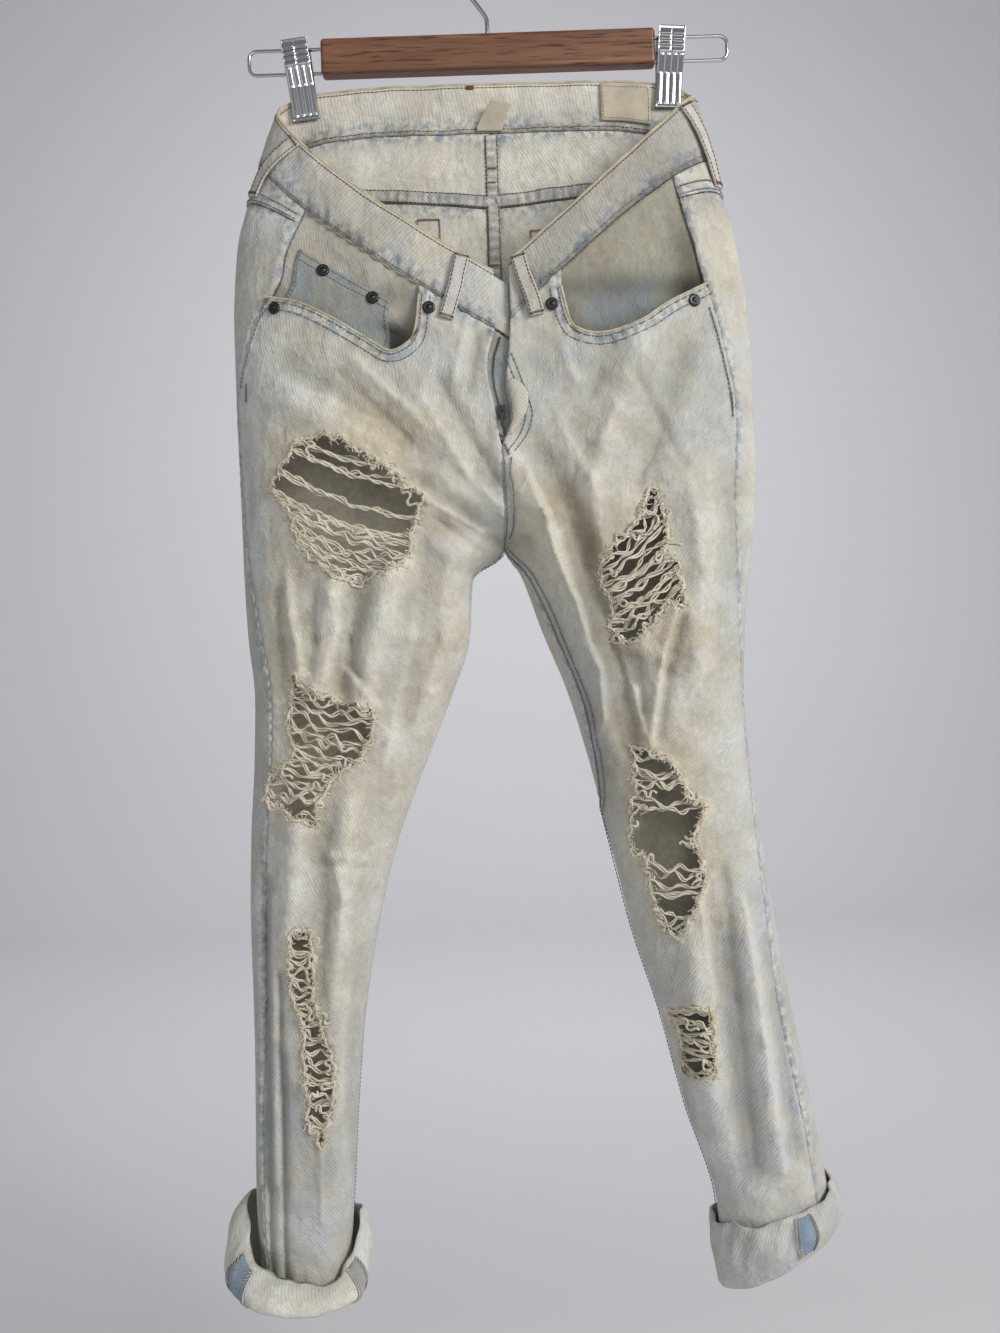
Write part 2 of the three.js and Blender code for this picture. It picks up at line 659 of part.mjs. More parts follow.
// Belt loops stand off the waistband in a low arch.
function beltLoop(side, angleAt) {
  const centreAt = (t) => {
    const v = mix(LOOP_TOP, LOOP_DROP, t);
    return { v, angle: angleAt(v, t) };
  };
  const pointsAt = (i, j) => {
    const { v, angle } = centreAt(i);
    const normal = outwardAt(side, v, angle);
    const before = centreAt(Math.max(i - 0.02, 0));
    const after = centreAt(Math.min(i + 0.02, 1));
    const ahead = jeansPoint(side, after.v, after.angle).sub(jeansPoint(side, before.v, before.angle));
    const across = normal.clone().cross(ahead).normalize();
    const base = jeansPoint(side, v, angle).addScaledVector(across, (j - 0.5) * LOOP_WIDTH);
    const lift = LOOP_STAND + LOOP_ARCH * Math.sin(Math.PI * i);
    return [lift + LOOP_WALL, lift].map((out) => base.clone().addScaledVector(normal, out));
  };
  return wallGeometry(7, 2, pointsAt, false);
}
for (const loop of BELT_LOOPS) {
  const side = sides[loop.side];
  const angleAt = (v, t) => angleAtX(side, v, mix(loop.topX, loop.footX, t));
  addPart(loop.name, beltLoop(side, angleAt), cream);
}
addPart('belt_loop_back', beltLoop(sides.left, (v) => -angleAtX(sides.left, v, 0)), cream);

// Rivets: domed caps with a small nub, set square to the cloth.
const COIN_LIFT = FACING_WALL + COIN.gap + SEAM_GAP - facingRest - FACING.gape;
const RIVETS = [
  { name: 'rivet_left_side', side: 'left', row: 2.57, x: -164, lift: 0 },
  { name: 'rivet_left_front', side: 'left', row: 1.33, x: -50, lift: 0 },
  { name: 'rivet_right_front', side: 'right', row: 1.37, x: 40, lift: 0 },
  { name: 'rivet_right_side', side: 'right', row: 2.44, x: 145, lift: 0 },
  { name: 'rivet_coin_outer', side: 'left', row: 1.72, x: -127, lift: COIN_LIFT },
  { name: 'rivet_coin_inner', side: 'left', row: 1.72, x: -91, lift: COIN_LIFT },
];
function rivetGeometry() {
  const r = RIVET_RADIUS;
  const h = RIVET_HEIGHT;
  const profile = [
    [0, 0], [r, 0], [r, h * 0.35], [r * 0.72, h * 0.7],
    [r * 0.4, h * 0.6], [r * 0.25, h], [0, h],
  ];
  return new THREE.LatheGeometry(profile.map(([x, y]) => new THREE.Vector2(x, y)), 12);
}
for (const rivet of RIVETS) {
  const side = sides[rivet.side];
  const angle = angleAtX(side, rivet.row, rivet.x);
  const mesh = addPart(rivet.name, rivetGeometry(), darkMetal);
  const normal = outwardAt(side, rivet.row, angle);
  mesh.position.copy(offsetPoint(side, rivet.row, angle, rivet.lift + SEAM_GAP));
  mesh.quaternion.setFromUnitVectors(new THREE.Vector3(0, 1, 0), normal);
}

// Cuffs: the leg's end turned up on the outside, as a hooked section round the leg.
// Each rim is a list of angles round the leg and the row that the rim reaches there.
const CUFFS = {
  left: {
    rim: [[0, 13.95], [0.35, 14.2], [0.7, 14.46], [1.57, 14.62], [2.4, 14.62], [2.8, 14.3], [3.14, 14.02],
      [4.7, 13.98], [6.29, 13.95]],
    flare: 13, outerFlare: 5, frontFlare: 11,
  },
  right: {
    rim: [[0, 13.9], [0.8, 14.02], [1.57, 14.14], [2.4, 14.16], [3.14, 14.22], [4.7, 14], [6.29, 13.9]],
    flare: 1.5, outerFlare: 1, frontFlare: 2,
  },
};
const CUFF_SECTIONS = 26;
const CUFF_STEPS = [0.2, 0.5, 0.8, 1];
// The wall bulges out between the fold and the rim, which curls back towards the leg.
const CUFF_ROLL = { span: 1.12, power: 0.7 };
const cuffRoll = (t) => Math.sin((Math.PI * t) / CUFF_ROLL.span) ** CUFF_ROLL.power;
function rimRow(rim, angle) {
  const next = rim.findIndex(([at]) => at > angle);
  const [before, after] = [rim[next - 1], rim[next]];
  return mix(before[1], after[1], (angle - before[0]) / (after[0] - before[0]));
}
const CUFF_FOLD = { inner: 2.2, innerFoot: 3, innerBack: 1.6, outerTop: 2.4, outerFoot: 5.4, outerBack: 3 };
function cuff(side) {
  const size = CUFFS[side.name];
  const sections = [];
  for (let i = 0; i < CUFF_SECTIONS; i += 1) {
    const angle = (i / CUFF_SECTIONS) * 2 * Math.PI;
    const facingFront = Math.max(Math.sin(angle), 0);
    const rim = rimRow(size.rim, angle);
    const flare = size.flare + size.outerFlare * Math.cos(angle) + size.frontFlare * facingFront;
    const end = jeansPoint(side, HEM, angle);
    const normal = outwardAt(side, HEM, angle);
    const down = jeansPoint(side, HEM, angle).sub(jeansPoint(side, HEM - 0.05, angle)).normalize();
    const at = (drop, out) => end.clone().addScaledVector(down, drop).addScaledVector(normal, out);
    const bulge = (t) => CUFF_AIR + flare * cuffRoll(t);
    const wallAt = (t, out) => offsetPoint(side, mix(HEM, rim, t), angle, bulge(t) + out);
    sections.push([
      at(SEAM_GAP, -DENIM),
      at(SEAM_GAP, 0),
      at(CUFF_FOLD.inner, 0.1),
      at(CUFF_FOLD.innerFoot, CUFF_AIR / 2),
      at(CUFF_FOLD.innerBack, CUFF_AIR),
      ...CUFF_STEPS.map((t) => wallAt(t, 0)),
      ...CUFF_STEPS.map((t) => wallAt(t, CUFF_WALL)).reverse(),
      at(CUFF_FOLD.outerTop, CUFF_AIR + CUFF_WALL),
      at(CUFF_FOLD.outerFoot, CUFF_AIR / 2),
      at(CUFF_FOLD.outerBack, -DENIM),
    ]);
  }
  return ringGeometry(sections, side.sign < 0);
}
for (const side of Object.values(sides)) addPart(`cuff_${side.name}`, cuff(side), cream);

// Bare label and loop tag inside the back of the waistband.
function insidePatch(side, size) {
  const range = {
    row: (i) => mix(size.top, size.foot, i),
    angle: (v, j) => -mix(angleAtX(side, v, size.from), angleAtX(side, v, size.to), j),
  };
  const depth = BAND_WALL + SEAM_GAP;
  return patch(side, 2, 3, range, constant(-depth), constant(-depth - size.wall));
}
addPart('label', insidePatch(sides.right, LABEL), bareCloth);
addPart('loop_tag', insidePatch(sides.left, LOOP_TAG), bareCloth);

// Zip slider with its bail, and the pull tab that hangs in the bail.
const zipFace = jeansPoint(sides.left, ZIP.row, angleAtX(sides.left, ZIP.row, ZIP.x)).y;
const sliderFaceY = zipFace - ZIP.standOff;
const axisZ = ZIP.sliderZ + BAIL.axisUp;

function boxAt(width, depth, height, x, y, z) {
  return new THREE.BoxGeometry(width, depth, height).translate(x, y, z);
}

function zipSlider() {
  const bodyY = sliderFaceY + ZIP.wall / 2;
  const body = toSolid(boxAt(ZIP.width, ZIP.wall, ZIP.height, ZIP.x, bodyY, ZIP.sliderZ));
  const bailY = sliderFaceY - BAIL.depth / 2 + BAIL.sunk;
  const bail = toSolid(boxAt(BAIL.width, BAIL.depth + 2 * BAIL.sunk, BAIL.height, ZIP.x, bailY, axisZ));
  const eyeDepth = BAIL.depth - BAIL.wall;
  const eyeHeight = BAIL.height - 2 * BAIL.wall;
  const eye = boxAt(2 * BAIL.width, eyeDepth, eyeHeight, ZIP.x, sliderFaceY - eyeDepth / 2, axisZ);
  return toGeometry(body.add(bail.subtract(toSolid(eye))));
}
addPart('zip_slider', zipSlider(), darkMetal);

function zipPullTab() {
  const half = PULL_TAB.width / 2;
  const footHalf = PULL_TAB.footWidth / 2;
  const top = axisZ + PULL_TAB.wall / 2;
  const foot = axisZ - PULL_TAB.length;
  const plate = [[-half, top], [half, top], [footHalf, foot], [-footHalf, foot]];
  const slotHalf = PULL_TAB.slotWidth / 2;
  const slotTop = axisZ - PULL_TAB.wall / 2;
  const slotFoot = axisZ - PULL_TAB.slotFoot;
  const slot = [[-slotHalf, slotTop], [slotHalf, slotTop], [slotHalf, slotFoot], [-slotHalf, slotFoot]];
  const near = sliderFaceY - BAIL.axisOut - PULL_TAB.wall / 2;
  const far = near + PULL_TAB.wall;
  const moved = (outline) => outline.map(([x, z]) => [x + ZIP.x, z]);
  const solid = toSolid(prismXZ(moved(plate), near, far));
  return toGeometry(solid.subtract(toSolid(prismXZ(moved(slot), near - 1, far + 1))));
}
addPart('zip_pull_tab', zipPullTab(), darkMetal);

// Hanger bar
function hangerBar() {
  const shape = new THREE.Shape();
  const w = BAR.depth / 2;
  const h = BAR.height / 2;
  const r = BAR.round;
  shape.moveTo(-w + r, -h);
  shape.lineTo(w - r, -h);
  shape.absarc(w - r, -h + r, r, -Math.PI / 2, 0);
  shape.lineTo(w, h - r);
  shape.absarc(w - r, h - r, r, 0, Math.PI / 2);
  shape.lineTo(-w + r, h);
  shape.absarc(-w + r, h - r, r, Math.PI / 2, Math.PI);
  shape.lineTo(-w, -h + r);
  shape.absarc(-w + r, -h + r, r, Math.PI, 1.5 * Math.PI);
  const options = { depth: BAR.length, bevelEnabled: false, curveSegments: 3 };
  const geometry = new THREE.ExtrudeGeometry(shape, options);
  geometry.translate(0, 0, -BAR.length / 2);
  geometry.rotateX(Math.PI / 2);
  geometry.rotateZ(Math.PI / 2);
  geometry.translate(0, 0, BAR.top - h);
  return geometry;
}
addPart('hanger_bar', hangerBar(), wood);

// A round rod of eight faces along a curve through points in the XZ plane.
const ROD_HALF_FACES = 4;
function rodGeometry(points, radius, steps) {
  const path = points.map(([x, z]) => new THREE.Vector3(x, 0, z));
  const curve = new THREE.CatmullRomCurve3(path, false, 'centripetal');
  const section = new THREE.Shape();
  section.absarc(0, 0, radius, 0, 2 * Math.PI);
  const options = { steps, extrudePath: curve, curveSegments: ROD_HALF_FACES, bevelEnabled: false };
  return new THREE.ExtrudeGeometry(section, options);
}

function wireBow(sign) {
  const inner = sign * (BAR.length / 2 + SEAM_GAP);
  const middle = (BOW.upper + BOW.lower) / 2;
  const turn = (BOW.upper - BOW.lower) / 2;
  const centre = sign * (BOW.reach - turn);
  const points = [[inner, BOW.upper], [mix(inner, centre, 0.5), BOW.upper]];
  for (let i = 0; i <= 6; i += 1) {
    const angle = Math.PI / 2 - (i / 6) * Math.PI;
    points.push([centre + sign * turn * Math.cos(angle), middle + turn * Math.sin(angle)]);
  }
  points.push([mix(inner, centre, 0.5), BOW.lower], [inner, BOW.lower]);
  return rodGeometry(points, BOW.radius, 18);
}
addPart('wire_bow_left', wireBow(-1), chrome);
addPart('wire_bow_right', wireBow(1), chrome);

function hookRod() {
  const ring = HOOK.inner + HOOK.radius;
  const points = [[0, BAR.top + SEAM_GAP], [0, HOOK.stemTop - HOOK.neckDrop], [HOOK.neckX, HOOK.stemTop]];
  for (let i = 0; i <= 9; i += 1) {
    const angle = THREE.MathUtils.degToRad(mix(HOOK_TURN.from, HOOK_TURN.to, i / 9));
    points.push([ring * Math.cos(angle), ring * Math.sin(angle) - HOOK.inner]);
  }
  return rodGeometry(points, HOOK.radius, 26);
}
addPart('hook', hookRod(), chrome);

// Clips: two sprung plates that hold the back of the waistband.
const CLIPS = [
  { name: 'left', x: -144, lean: 7 },
  { name: 'right', x: 140, lean: 4 },
];
function clipPlate(face, direction) {
  const near = face + direction * SEAM_GAP;
  const heights = [CLIP.bottom, CLIP.jawTop, CLIP.bendTop, CLIP.top];
  const outs = [0, 0, CLIP_SPREAD.bend, CLIP_SPREAD.top];
  const inner = heights.map((z, i) => [near + direction * outs[i], z]);
  const outer = heights.map((z, i) => [near + direction * (outs[i] + CLIP.wall), z]).reverse();
  const shape = new THREE.Shape([...inner, ...outer].map(([y, z]) => new THREE.Vector2(y, z)));
  const geometry = new THREE.ExtrudeGeometry(shape, { depth: CLIP.width, bevelEnabled: false });
  geometry.translate(0, 0, -CLIP.width / 2);
  geometry.rotateX(Math.PI / 2);
  geometry.rotateZ(Math.PI / 2);
  return geometry;
}

function clipSpring() {
  const { radius, width } = CLIP_SPRING;
  const geometry = new THREE.CylinderGeometry(radius, radius, width, 16);
  geometry.rotateZ(Math.PI / 2);
  geometry.translate(0, (HELD_BAND.front + HELD_BAND.back) / 2, (BOW.upper + BOW.lower) / 2);
  return geometry;
}

for (const clip of CLIPS) {
  const holder = new THREE.Group();
  holder.position.set(clip.x, 0, CLIP.bottom);
  holder.rotation.y = THREE.MathUtils.degToRad(-clip.lean * Math.sign(-clip.x));
  group.add(holder);
  const pieces = [
    ['front', clipPlate(HELD_BAND.front, -1)],
    ['back', clipPlate(HELD_BAND.back, 1)],
    ['spring', clipSpring()],
  ];
  for (const [piece, geometry] of pieces) {
    const mesh = addPart(`clip_${clip.name}_${piece}`, geometry, chrome);
    mesh.position.z = -CLIP.bottom;
    holder.add(mesh);
  }
}

export default group;
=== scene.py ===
import math
from functools import partial
import bpy
import numpy as np
from mathutils import Matrix, Vector, kdtree


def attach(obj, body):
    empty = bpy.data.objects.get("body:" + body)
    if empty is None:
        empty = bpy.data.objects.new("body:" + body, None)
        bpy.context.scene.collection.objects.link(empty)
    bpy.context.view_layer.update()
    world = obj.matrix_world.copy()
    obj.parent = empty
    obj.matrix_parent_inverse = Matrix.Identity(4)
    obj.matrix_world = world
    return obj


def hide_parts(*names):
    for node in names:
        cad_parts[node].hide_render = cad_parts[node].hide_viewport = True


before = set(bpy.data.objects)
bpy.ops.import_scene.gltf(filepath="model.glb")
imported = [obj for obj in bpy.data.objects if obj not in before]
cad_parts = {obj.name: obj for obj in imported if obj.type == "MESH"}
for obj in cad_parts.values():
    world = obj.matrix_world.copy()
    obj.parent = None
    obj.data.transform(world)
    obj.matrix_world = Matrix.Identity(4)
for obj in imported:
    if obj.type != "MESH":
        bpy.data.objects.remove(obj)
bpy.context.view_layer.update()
rng = np.random.default_rng(11)
mainBody = "jeans_and_hanger"
mm = 0.001
print("frame loaded")

# Rows from the waistband's top edge to the fold of the cuff, in millimetres
# inZ, backZ, cut, midY, front, back, frontCorner, backCorner, backEase
sharedRows = [
    [-269, -100, 0, -14, 48, 16, 150, 8, 6],
    [-313, -138, 0, -16, 50, 18, 150, 12, 6],
    [-353, -200, 0, -22, 46, 28, 110, 40, 3],
    [-393, -275, 0, -25, 42, 34, 90, 70, 1.5],
    [-433, -362, -0.35, -27, 40, 37, 80, 80, 1],
    [-466, -466, -1, -28, 40, 38, 75, 80, 1],
    [-491, -491, -1, -28, 42, 38, 70, 80, 1],
    [-535, -535, -1, -28, 42, 38, 66, 80, 1],
    [-578, -578, -1, -28, 40, 36, 60, 80, 1],
    [-630, -630, -1, -28, 38, 35, 55, 70, 1],
    [-691, -691, -1, -28, 37, 34, 50, 60, 1],
    [-760, -760, -1, -27, 36, 33, 45, 55, 1],
    [-828, -828, -1, -27, 35, 32, 42, 50, 1],
    [-897, -897, -1, -26, 34, 31, 40, 45, 1],
    [-972, -972, -1, -26, 32, 30, 38, 40, 1],
    [-1029, -1029, -1, -26, 30, 29, 36, 38, 1],
]

# outX, outZ, inX, seam, inseam, drop
leftRows = [
    [-170, -113, 0, 44, 0, 0.65],
    [-180, -166, 0, 39, 0, 0.75],
    [-197.5, -235, 0, 40, 0, 1],
    [-201, -294, 0, 18, 0, 1],
    [-200.5, -356, 0, 4, 0, 1],
    [-199.5, -425, 0, 5, 0, 1],
    [-199, -478, -25, 9, -6, 1],
    [-197.5, -528, -29, 15, -6, 1],
    [-194, -574, -44, 18, -6, 1],
    [-196, -623, -66, 18, -6, 1],
    [-200.5, -684, -90, 17, -6, 1],
    [-203, -753, -108, 15, -6, 1],
    [-203, -822, -120, 12, -6, 1],
    [-204.5, -890, -127, 9, -6, 1],
    [-206, -961, -133, 10, -6, 1],
    [-203, -1024, -137, 10, -6, 1],
]
rightRows = [
    [164, -116, 0, 42, 0, 0.9],
    [170, -176, 0, 35, 0, 1.2],
    [184.5, -241, 0, 35, 0, 1],
    [192, -307, 0, 27, 0, 1],
    [193, -369, 0, 19, 0, 1],
    [192, -434, 0, 22, 0, 1],
    [185.5, -491, 12, 15, 4, 1],
    [180, -541, 27, 8.5, 8, 1],
    [178, -586, 43.5, 5, 8, 1],
    [180.5, -636, 58, 5, 4, 1],
    [188, -698, 72, 8.5, -2, 1],
    [197.5, -767, 87, 12, -4, 1],
    [208, -836, 107, 14, -4, 1],
    [220.5, -905, 123.5, 14, -4, 1],
    [228.5, -959, 145, 15, -4, 1],
    [232, -983, 148, 15, -4, 1],
]

# Folds: x0, z0, x1, z1, half width, height (troughs below 0)
frontFolds = [
    [-12, -440, -147, -359, 12, 5],
    [-30, -425, -150, -335, 10, -4],
    [-19, -455, -60, -418, 9, -5],
    [-130, -500, -138, -555, 10, 5],
    [-108, -500, -122, -567, 9, -6],
    [-84, -490, -109, -571, 11, 6],
    [-60, -480, -75, -575, 10, -5],
    [-186, -723, -192, -935, 7, -5],
    [-160, -673, -170, -753, 10, 5],
    [-121, -663, -134, -798, 10, 6],
    [-142, -690, -146, -760, 9, -4],
    [-134, -805, -140, -937, 9, 5],
    [12, -419, 32, -467, 13, 8],
    [32, -467, 58, -558, 13, 9],
    [58, -558, 68, -610, 12, 7],
    [34, -416, 56, -468, 11, -6],
    [56, -468, 83, -559, 11, -7],
    [83, -559, 88, -615, 10, -5],
    [103, -327, 69, -417, 13, 5],
    [135, -332, 107, -422, 12, -4],
    [150, -440, 140, -560, 12, 5],
    [127, -770, 138, -928, 9, 5],
    [148, -767, 161, -929, 9, -6],
    [167, -761, 183, -926, 9, 6],
    [188, -780, 201, -919, 8, -5],
]
backFolds = [
    [-40, -455, -150, -330, 16, 5],
    [40, -455, 150, -335, 16, 5],
    [-110, -470, -125, -600, 14, -6],
    [-150, -520, -160, -680, 13, 6],
    [-145, -700, -160, -930, 12, -5],
    [-170, -720, -180, -900, 11, 5],
    [85, -480, 95, -610, 14, -6],
    [130, -500, 125, -690, 13, 6],
    [140, -700, 175, -930, 12, -5],
    [170, -720, 195, -900, 11, 5],
]

# Small sharp creases that only the visual model has: half width, height, then x, z of each point
frontCreases = [
    [4, -5, -187, -700, -192, -1005],
    [3.5, -4, -177, -780, -181, -1012],
    [5, 4, -160, -486, -159, -514, -155, -534, -153, -560],
    [5, -3.5, -168, -497, -168, -534, -166, -557],
    [5, 4, -123, -482, -127, -505, -124, -526, -134, -560],
    [6, -3.5, -139, -498, -141, -534, -145, -555],
    [5, -3.5, -110, -503, -116, -535, -109, -568],
    [4, 3, -120, -556, -100, -581],
    [4, -2.5, -116, -553, -96, -576],
    [6, 3, -65, -482, -70, -532, -94, -627],
    [6, 2.5, -27, -493, -24, -519, -36, -553],
    [7, -2.5, -49, -479, -54, -537, -75, -595],
    [4, 2.5, -139, -691, -111, -696],
    [4, -2, -140, -697, -113, -702],
    [5, 2.5, -134, -691, -127, -724, -131, -754],
    [5, 3, -57, -434, -17, -458, -2, -457],
    [6, -3, -48, -450, -21, -469],
    [5, 4.5, 17, -417, 29, -450, 35, -478, 49, -511, 65, -562, 67, -597, 60, -622],
    [8, -4, 57, -483, 62, -541, 75, -572],
    [6, -3, 40, -453, 53, -504],
    [5, 4, 81, -542, 90, -579, 98, -616],
    [5, 4.5, 122, -521, 110, -558, 101, -616],
    [6, -4, 126, -529, 116, -565, 108, -612],
    [6, -3, 95, -557, 97, -594],
    [5, 3, -25, -315, -33, -346],
    [5, -2.5, -16, -319, -23, -356],
    [6, 3, -107, -329, -56, -380],
    [6, -2.5, -117, -339, -68, -391],
    [6, 2.5, -166, -342, -125, -359, -76, -387],
    [6, -2.5, -44, -348, -17, -400, -3, -422],
    [6, 2.5, -56, -362, -28, -414, -5, -440],
    [5, 2.5, 48, -330, 54, -349],
    [5, -2.5, 74, -346, 66, -362],
    [6, 2.5, 83, -372, 72, -395],
    [6, -2.5, 115, -397, 99, -426],
    [6, 2.5, 136, -420, 141, -486],
    [7, -2.5, 102, -352, 136, -420],
    [7, 2.5, 42, -380, 63, -424, 69, -468],
    [5, 3, 74, -703, 88, -769, 101, -813],
    [6, 3, 133, -727, 141, -807],
    [6, -3, 152, -713, 160, -808, 170, -933],
    [6, 3, 166, -735, 177, -838, 188, -933],
    [5, 2.5, 128, -873, 136, -954],
    [5, -2.5, 121, -872, 126, -946],
    [5, -2.5, 189, -809, 199, -926],
    [4, -3.5, -187, -708, -190, -803, -196, -935],
    [4, 3, -180, -723, -184, -826, -187, -935],
    [5, 2.5, -129, -798, -135, -871, -134, -944],
    [5, -2.5, -177, -840, -178, -936],
    [5, 2.5, -151, -914, -152, -962],
]
backCreases = [
    [6, -2.4, -60, -380, -130, -345],
    [6, -2.4, 55, -390, 125, -350],
    [5, 2.2, -30, -440, -110, -455],
    [5, 2.2, 30, -440, 105, -460],
    [5, -2.4, -100, -620, -150, -640],
    [5, -2.4, 95, -630, 150, -650],
    [5, 2.2, -120, -645, -170, -670],
    [5, 2.2, 110, -655, 165, -680],
    [5, 2.2, -150, -760, -155, -860],
    [5, 2.2, 150, -760, 165, -860],
    [5, -2, -175, -880, -180, -960],
    [5, -2, 195, -860, 205, -940],
]


def creaseRows(lines):
    rows = []
    for width, height, *places in lines:
        ends = list(zip(places[::2], places[1::2]))
        rows += [[*a, *b, width, height] for a, b in zip(ends, ends[1:])]
    return np.array(rows, float)


frontTables = (np.array(frontFolds, float), creaseRows(frontCreases))
backTables = (np.array(backFolds, float), creaseRows(backCreases))


def smoothTable(rows):
    values = np.array(rows, float)
    rise = np.diff(values, axis=0)
    slopes = np.zeros_like(values)
    slopes[0] = rise[0]
    slopes[-1] = rise[-1]
    product = rise[:-1] * rise[1:]
    total = np.where(product > 0, rise[:-1] + rise[1:], 1)
    slopes[1:-1] = np.where(product > 0, 2 * product / total, 0)

    def at(v):
        v = np.asarray(v, float)
        i = np.clip(np.floor(v).astype(int), 0, len(values) - 2)
        t = (v - i)[..., None]
        u = 1 - t
        ends = values[i] * (1 + 2 * t) * u * u + values[i + 1] * t * t * (3 - 2 * t)
        return ends + slopes[i] * t * u * u - slopes[i + 1] * t * t * u

    return at


sharedAt = smoothTable(sharedRows)
left = {"name": "left", "sign": -1, "folds": 1, "at": smoothTable(leftRows)}
right = {"name": "right", "sign": 1, "folds": 1, "at": smoothTable(rightRows)}
sides = [left, right]
waistSeam, crotch, hem = 1, 5, 15

# Soft waves all over the cloth: wave length, direction, phase, height
ripples = [
    (46, 0.3, 0.0, 0.5),
    (61, 1.9, 2.1, 0.55),
    (33, 2.6, 4.0, 0.32),
    (27, 0.9, 1.2, 0.25),
    (21, 1.5, 5.1, 0.18),
]


def rippleHeight(x, z):
    height = 0
    for length, turn, phase, size in ripples:
        along = (x * math.cos(turn) + z * math.sin(turn)) / length
        height = height + size * np.sin(2 * math.pi * along + phase + 1.7 * np.sin(along + z / 90))
    return height


def foldHeight(tables, x, z):
    height = rippleHeight(x, z)
    for table, sharp in zip(tables, (False, True)):
        for x0, z0, x1, z1, width, size in table:
            dx, dz = x1 - x0, z1 - z0
            length = math.hypot(dx, dz)
            along = ((x - x0) * dx + (z - z0) * dz) / length
            off = np.abs((x - x0) * dz - (z - z0) * dx) / length / width
            past = np.maximum(np.maximum(-along, along - length), 0) / width
            section = np.exp(0.4 - np.sqrt(4 * off * off + 0.16)) if sharp else np.exp(-off * off)
            height = height + size * section * falloff(past, 0.9 if sharp else 2)
    return height


def roundedEnd(distance, corner):
    return np.sqrt(np.maximum(1 - (1 - np.clip(distance / corner, 0, 1)) ** 2, 0))


# A point of the cloth: v counts the rows down, angle goes round from the side, in front above 0
def jeansPoint(side, v, angle):
    v, angle = np.broadcast_arrays(np.asarray(v, float), np.asarray(angle, float))
    inZ, backZ, cut, midY, front, back, frontCorner, backCorner, backEase = np.moveaxis(sharedAt(v), -1, 0)
    outX, outZ, inX, _, _, drop = np.moveaxis(side["at"](v), -1, 0)
    along = np.cos(angle)
    across = np.maximum((1 - along) / (1 - cut), 0)
    span = inX - outX
    x = outX + span * across
    full = np.abs(span) * 2 / (1 - cut)
    isFront = np.sin(angle) > 0
    corner = np.minimum(np.where(isFront, frontCorner, backCorner), full / 2)
    bulge = roundedEnd(full * (1 - along) / 2, corner) * roundedEnd(full * (1 + along) / 2, corner)
    zFront = outZ + (inZ - outZ) * across ** drop
    zBack = outZ + (backZ - outZ) * (1 - (1 - np.minimum(across, 1)) ** backEase)
    folds = side["folds"]
    yFront = midY - (front + folds * foldHeight(frontTables, x, zFront)) * bulge
    yBack = midY + (back + folds * foldHeight(backTables, x, zBack)) * bulge
    return np.stack([x, np.where(isFront, yFront, yBack), np.where(isFront, zFront, zBack)], -1)


def unit(vectors):
    return vectors / np.maximum(np.linalg.norm(vectors, axis=-1, keepdims=True), 1e-9)


def outwardAt(side, v, angle):
    step = 0.004
    turn = jeansPoint(side, v, angle + step) - jeansPoint(side, v, angle - step)
    low = np.maximum(np.asarray(v, float) - step, 0)
    high = np.minimum(np.asarray(v, float) + step, hem)
    return unit(np.cross(turn, jeansPoint(side, high, angle) - jeansPoint(side, low, angle))) * side["sign"]


def offsetPoint(side, v, angle, distance):
    return jeansPoint(side, v, angle) + outwardAt(side, v, angle) * np.asarray(distance, float)[..., None]


def angleAtX(side, v, x):
    cut = sharedAt(v)[..., 2]
    row = side["at"](v)
    across = (x - row[..., 0]) / (row[..., 2] - row[..., 0])
    return np.arccos(np.clip(1 - across * (1 - cut), -1, 1))


# The angle that lies so many millimetres further round
def nudged(side, v, angle, length):
    step = 0.002
    turn = jeansPoint(side, v, angle + step) - jeansPoint(side, v, angle - step)
    return angle + length * 2 * step / np.linalg.norm(turn, axis=-1)


def sideSeamAngle(side, v):
    row = side["at"](v)
    return angleAtX(side, v, row[..., 0] - side["sign"] * row[..., 3])


def inseamAngle(side, v):
    row = side["at"](v)
    share = np.minimum(2 * np.abs(row[..., 4]) / np.abs(row[..., 2] - row[..., 0]), 1)
    return math.pi - np.sign(row[..., 4]) * np.arccos(1 - share)


# Edges of the open fly: z, left, right
flyEdge = np.array([
    [-398, 0, 0],
    [-392, -1.8, 3.2],
    [-382, -2.2, 6.8],
    [-371, -4.5, 6.5],
    [-357, -8, 4.2],
    [-347, -9, 5],
    [-335, -8, 7],
    [-313, -2, 9.5],
])


def flyOffset(side, v):
    return np.interp(sharedAt(v)[..., 0], flyEdge[:, 0], flyEdge[:, 1 if side is left else 2])


def frontEdgeAngle(side, v):
    v = np.asarray(v, float)
    return np.where(v > crotch, inseamAngle(side, v), angleAtX(side, v, flyOffset(side, v)))


def backEdgeAngle(side, v):
    v = np.asarray(v, float)
    return np.where(v > crotch, inseamAngle(side, v) - 2 * math.pi, -angleAtX(side, v, 0))


def mix(a, b, t):
    return a + (b - a) * t


def frontAngle(side, v, share):
    return mix(sideSeamAngle(side, v), frontEdgeAngle(side, v), share)


def backAngle(side, v, share):
    return mix(backEdgeAngle(side, v), sideSeamAngle(side, v), share)


def smoothStep(low, high, t):
    t = np.clip((t - low) / (high - low), 0, 1)
    return t * t * (3 - 2 * t)


def falloff(distance, reach, power=2):
    return np.exp(-((distance / reach) ** power))


def blob(x, z, x0, z0, wide, tall):
    return np.exp(-(((x - x0) / wide) ** 2) - ((z - z0) / tall) ** 2)


def gridNormals(points, sign):
    return unit(np.cross(np.gradient(points, axis=1), np.gradient(points, axis=0))) * sign


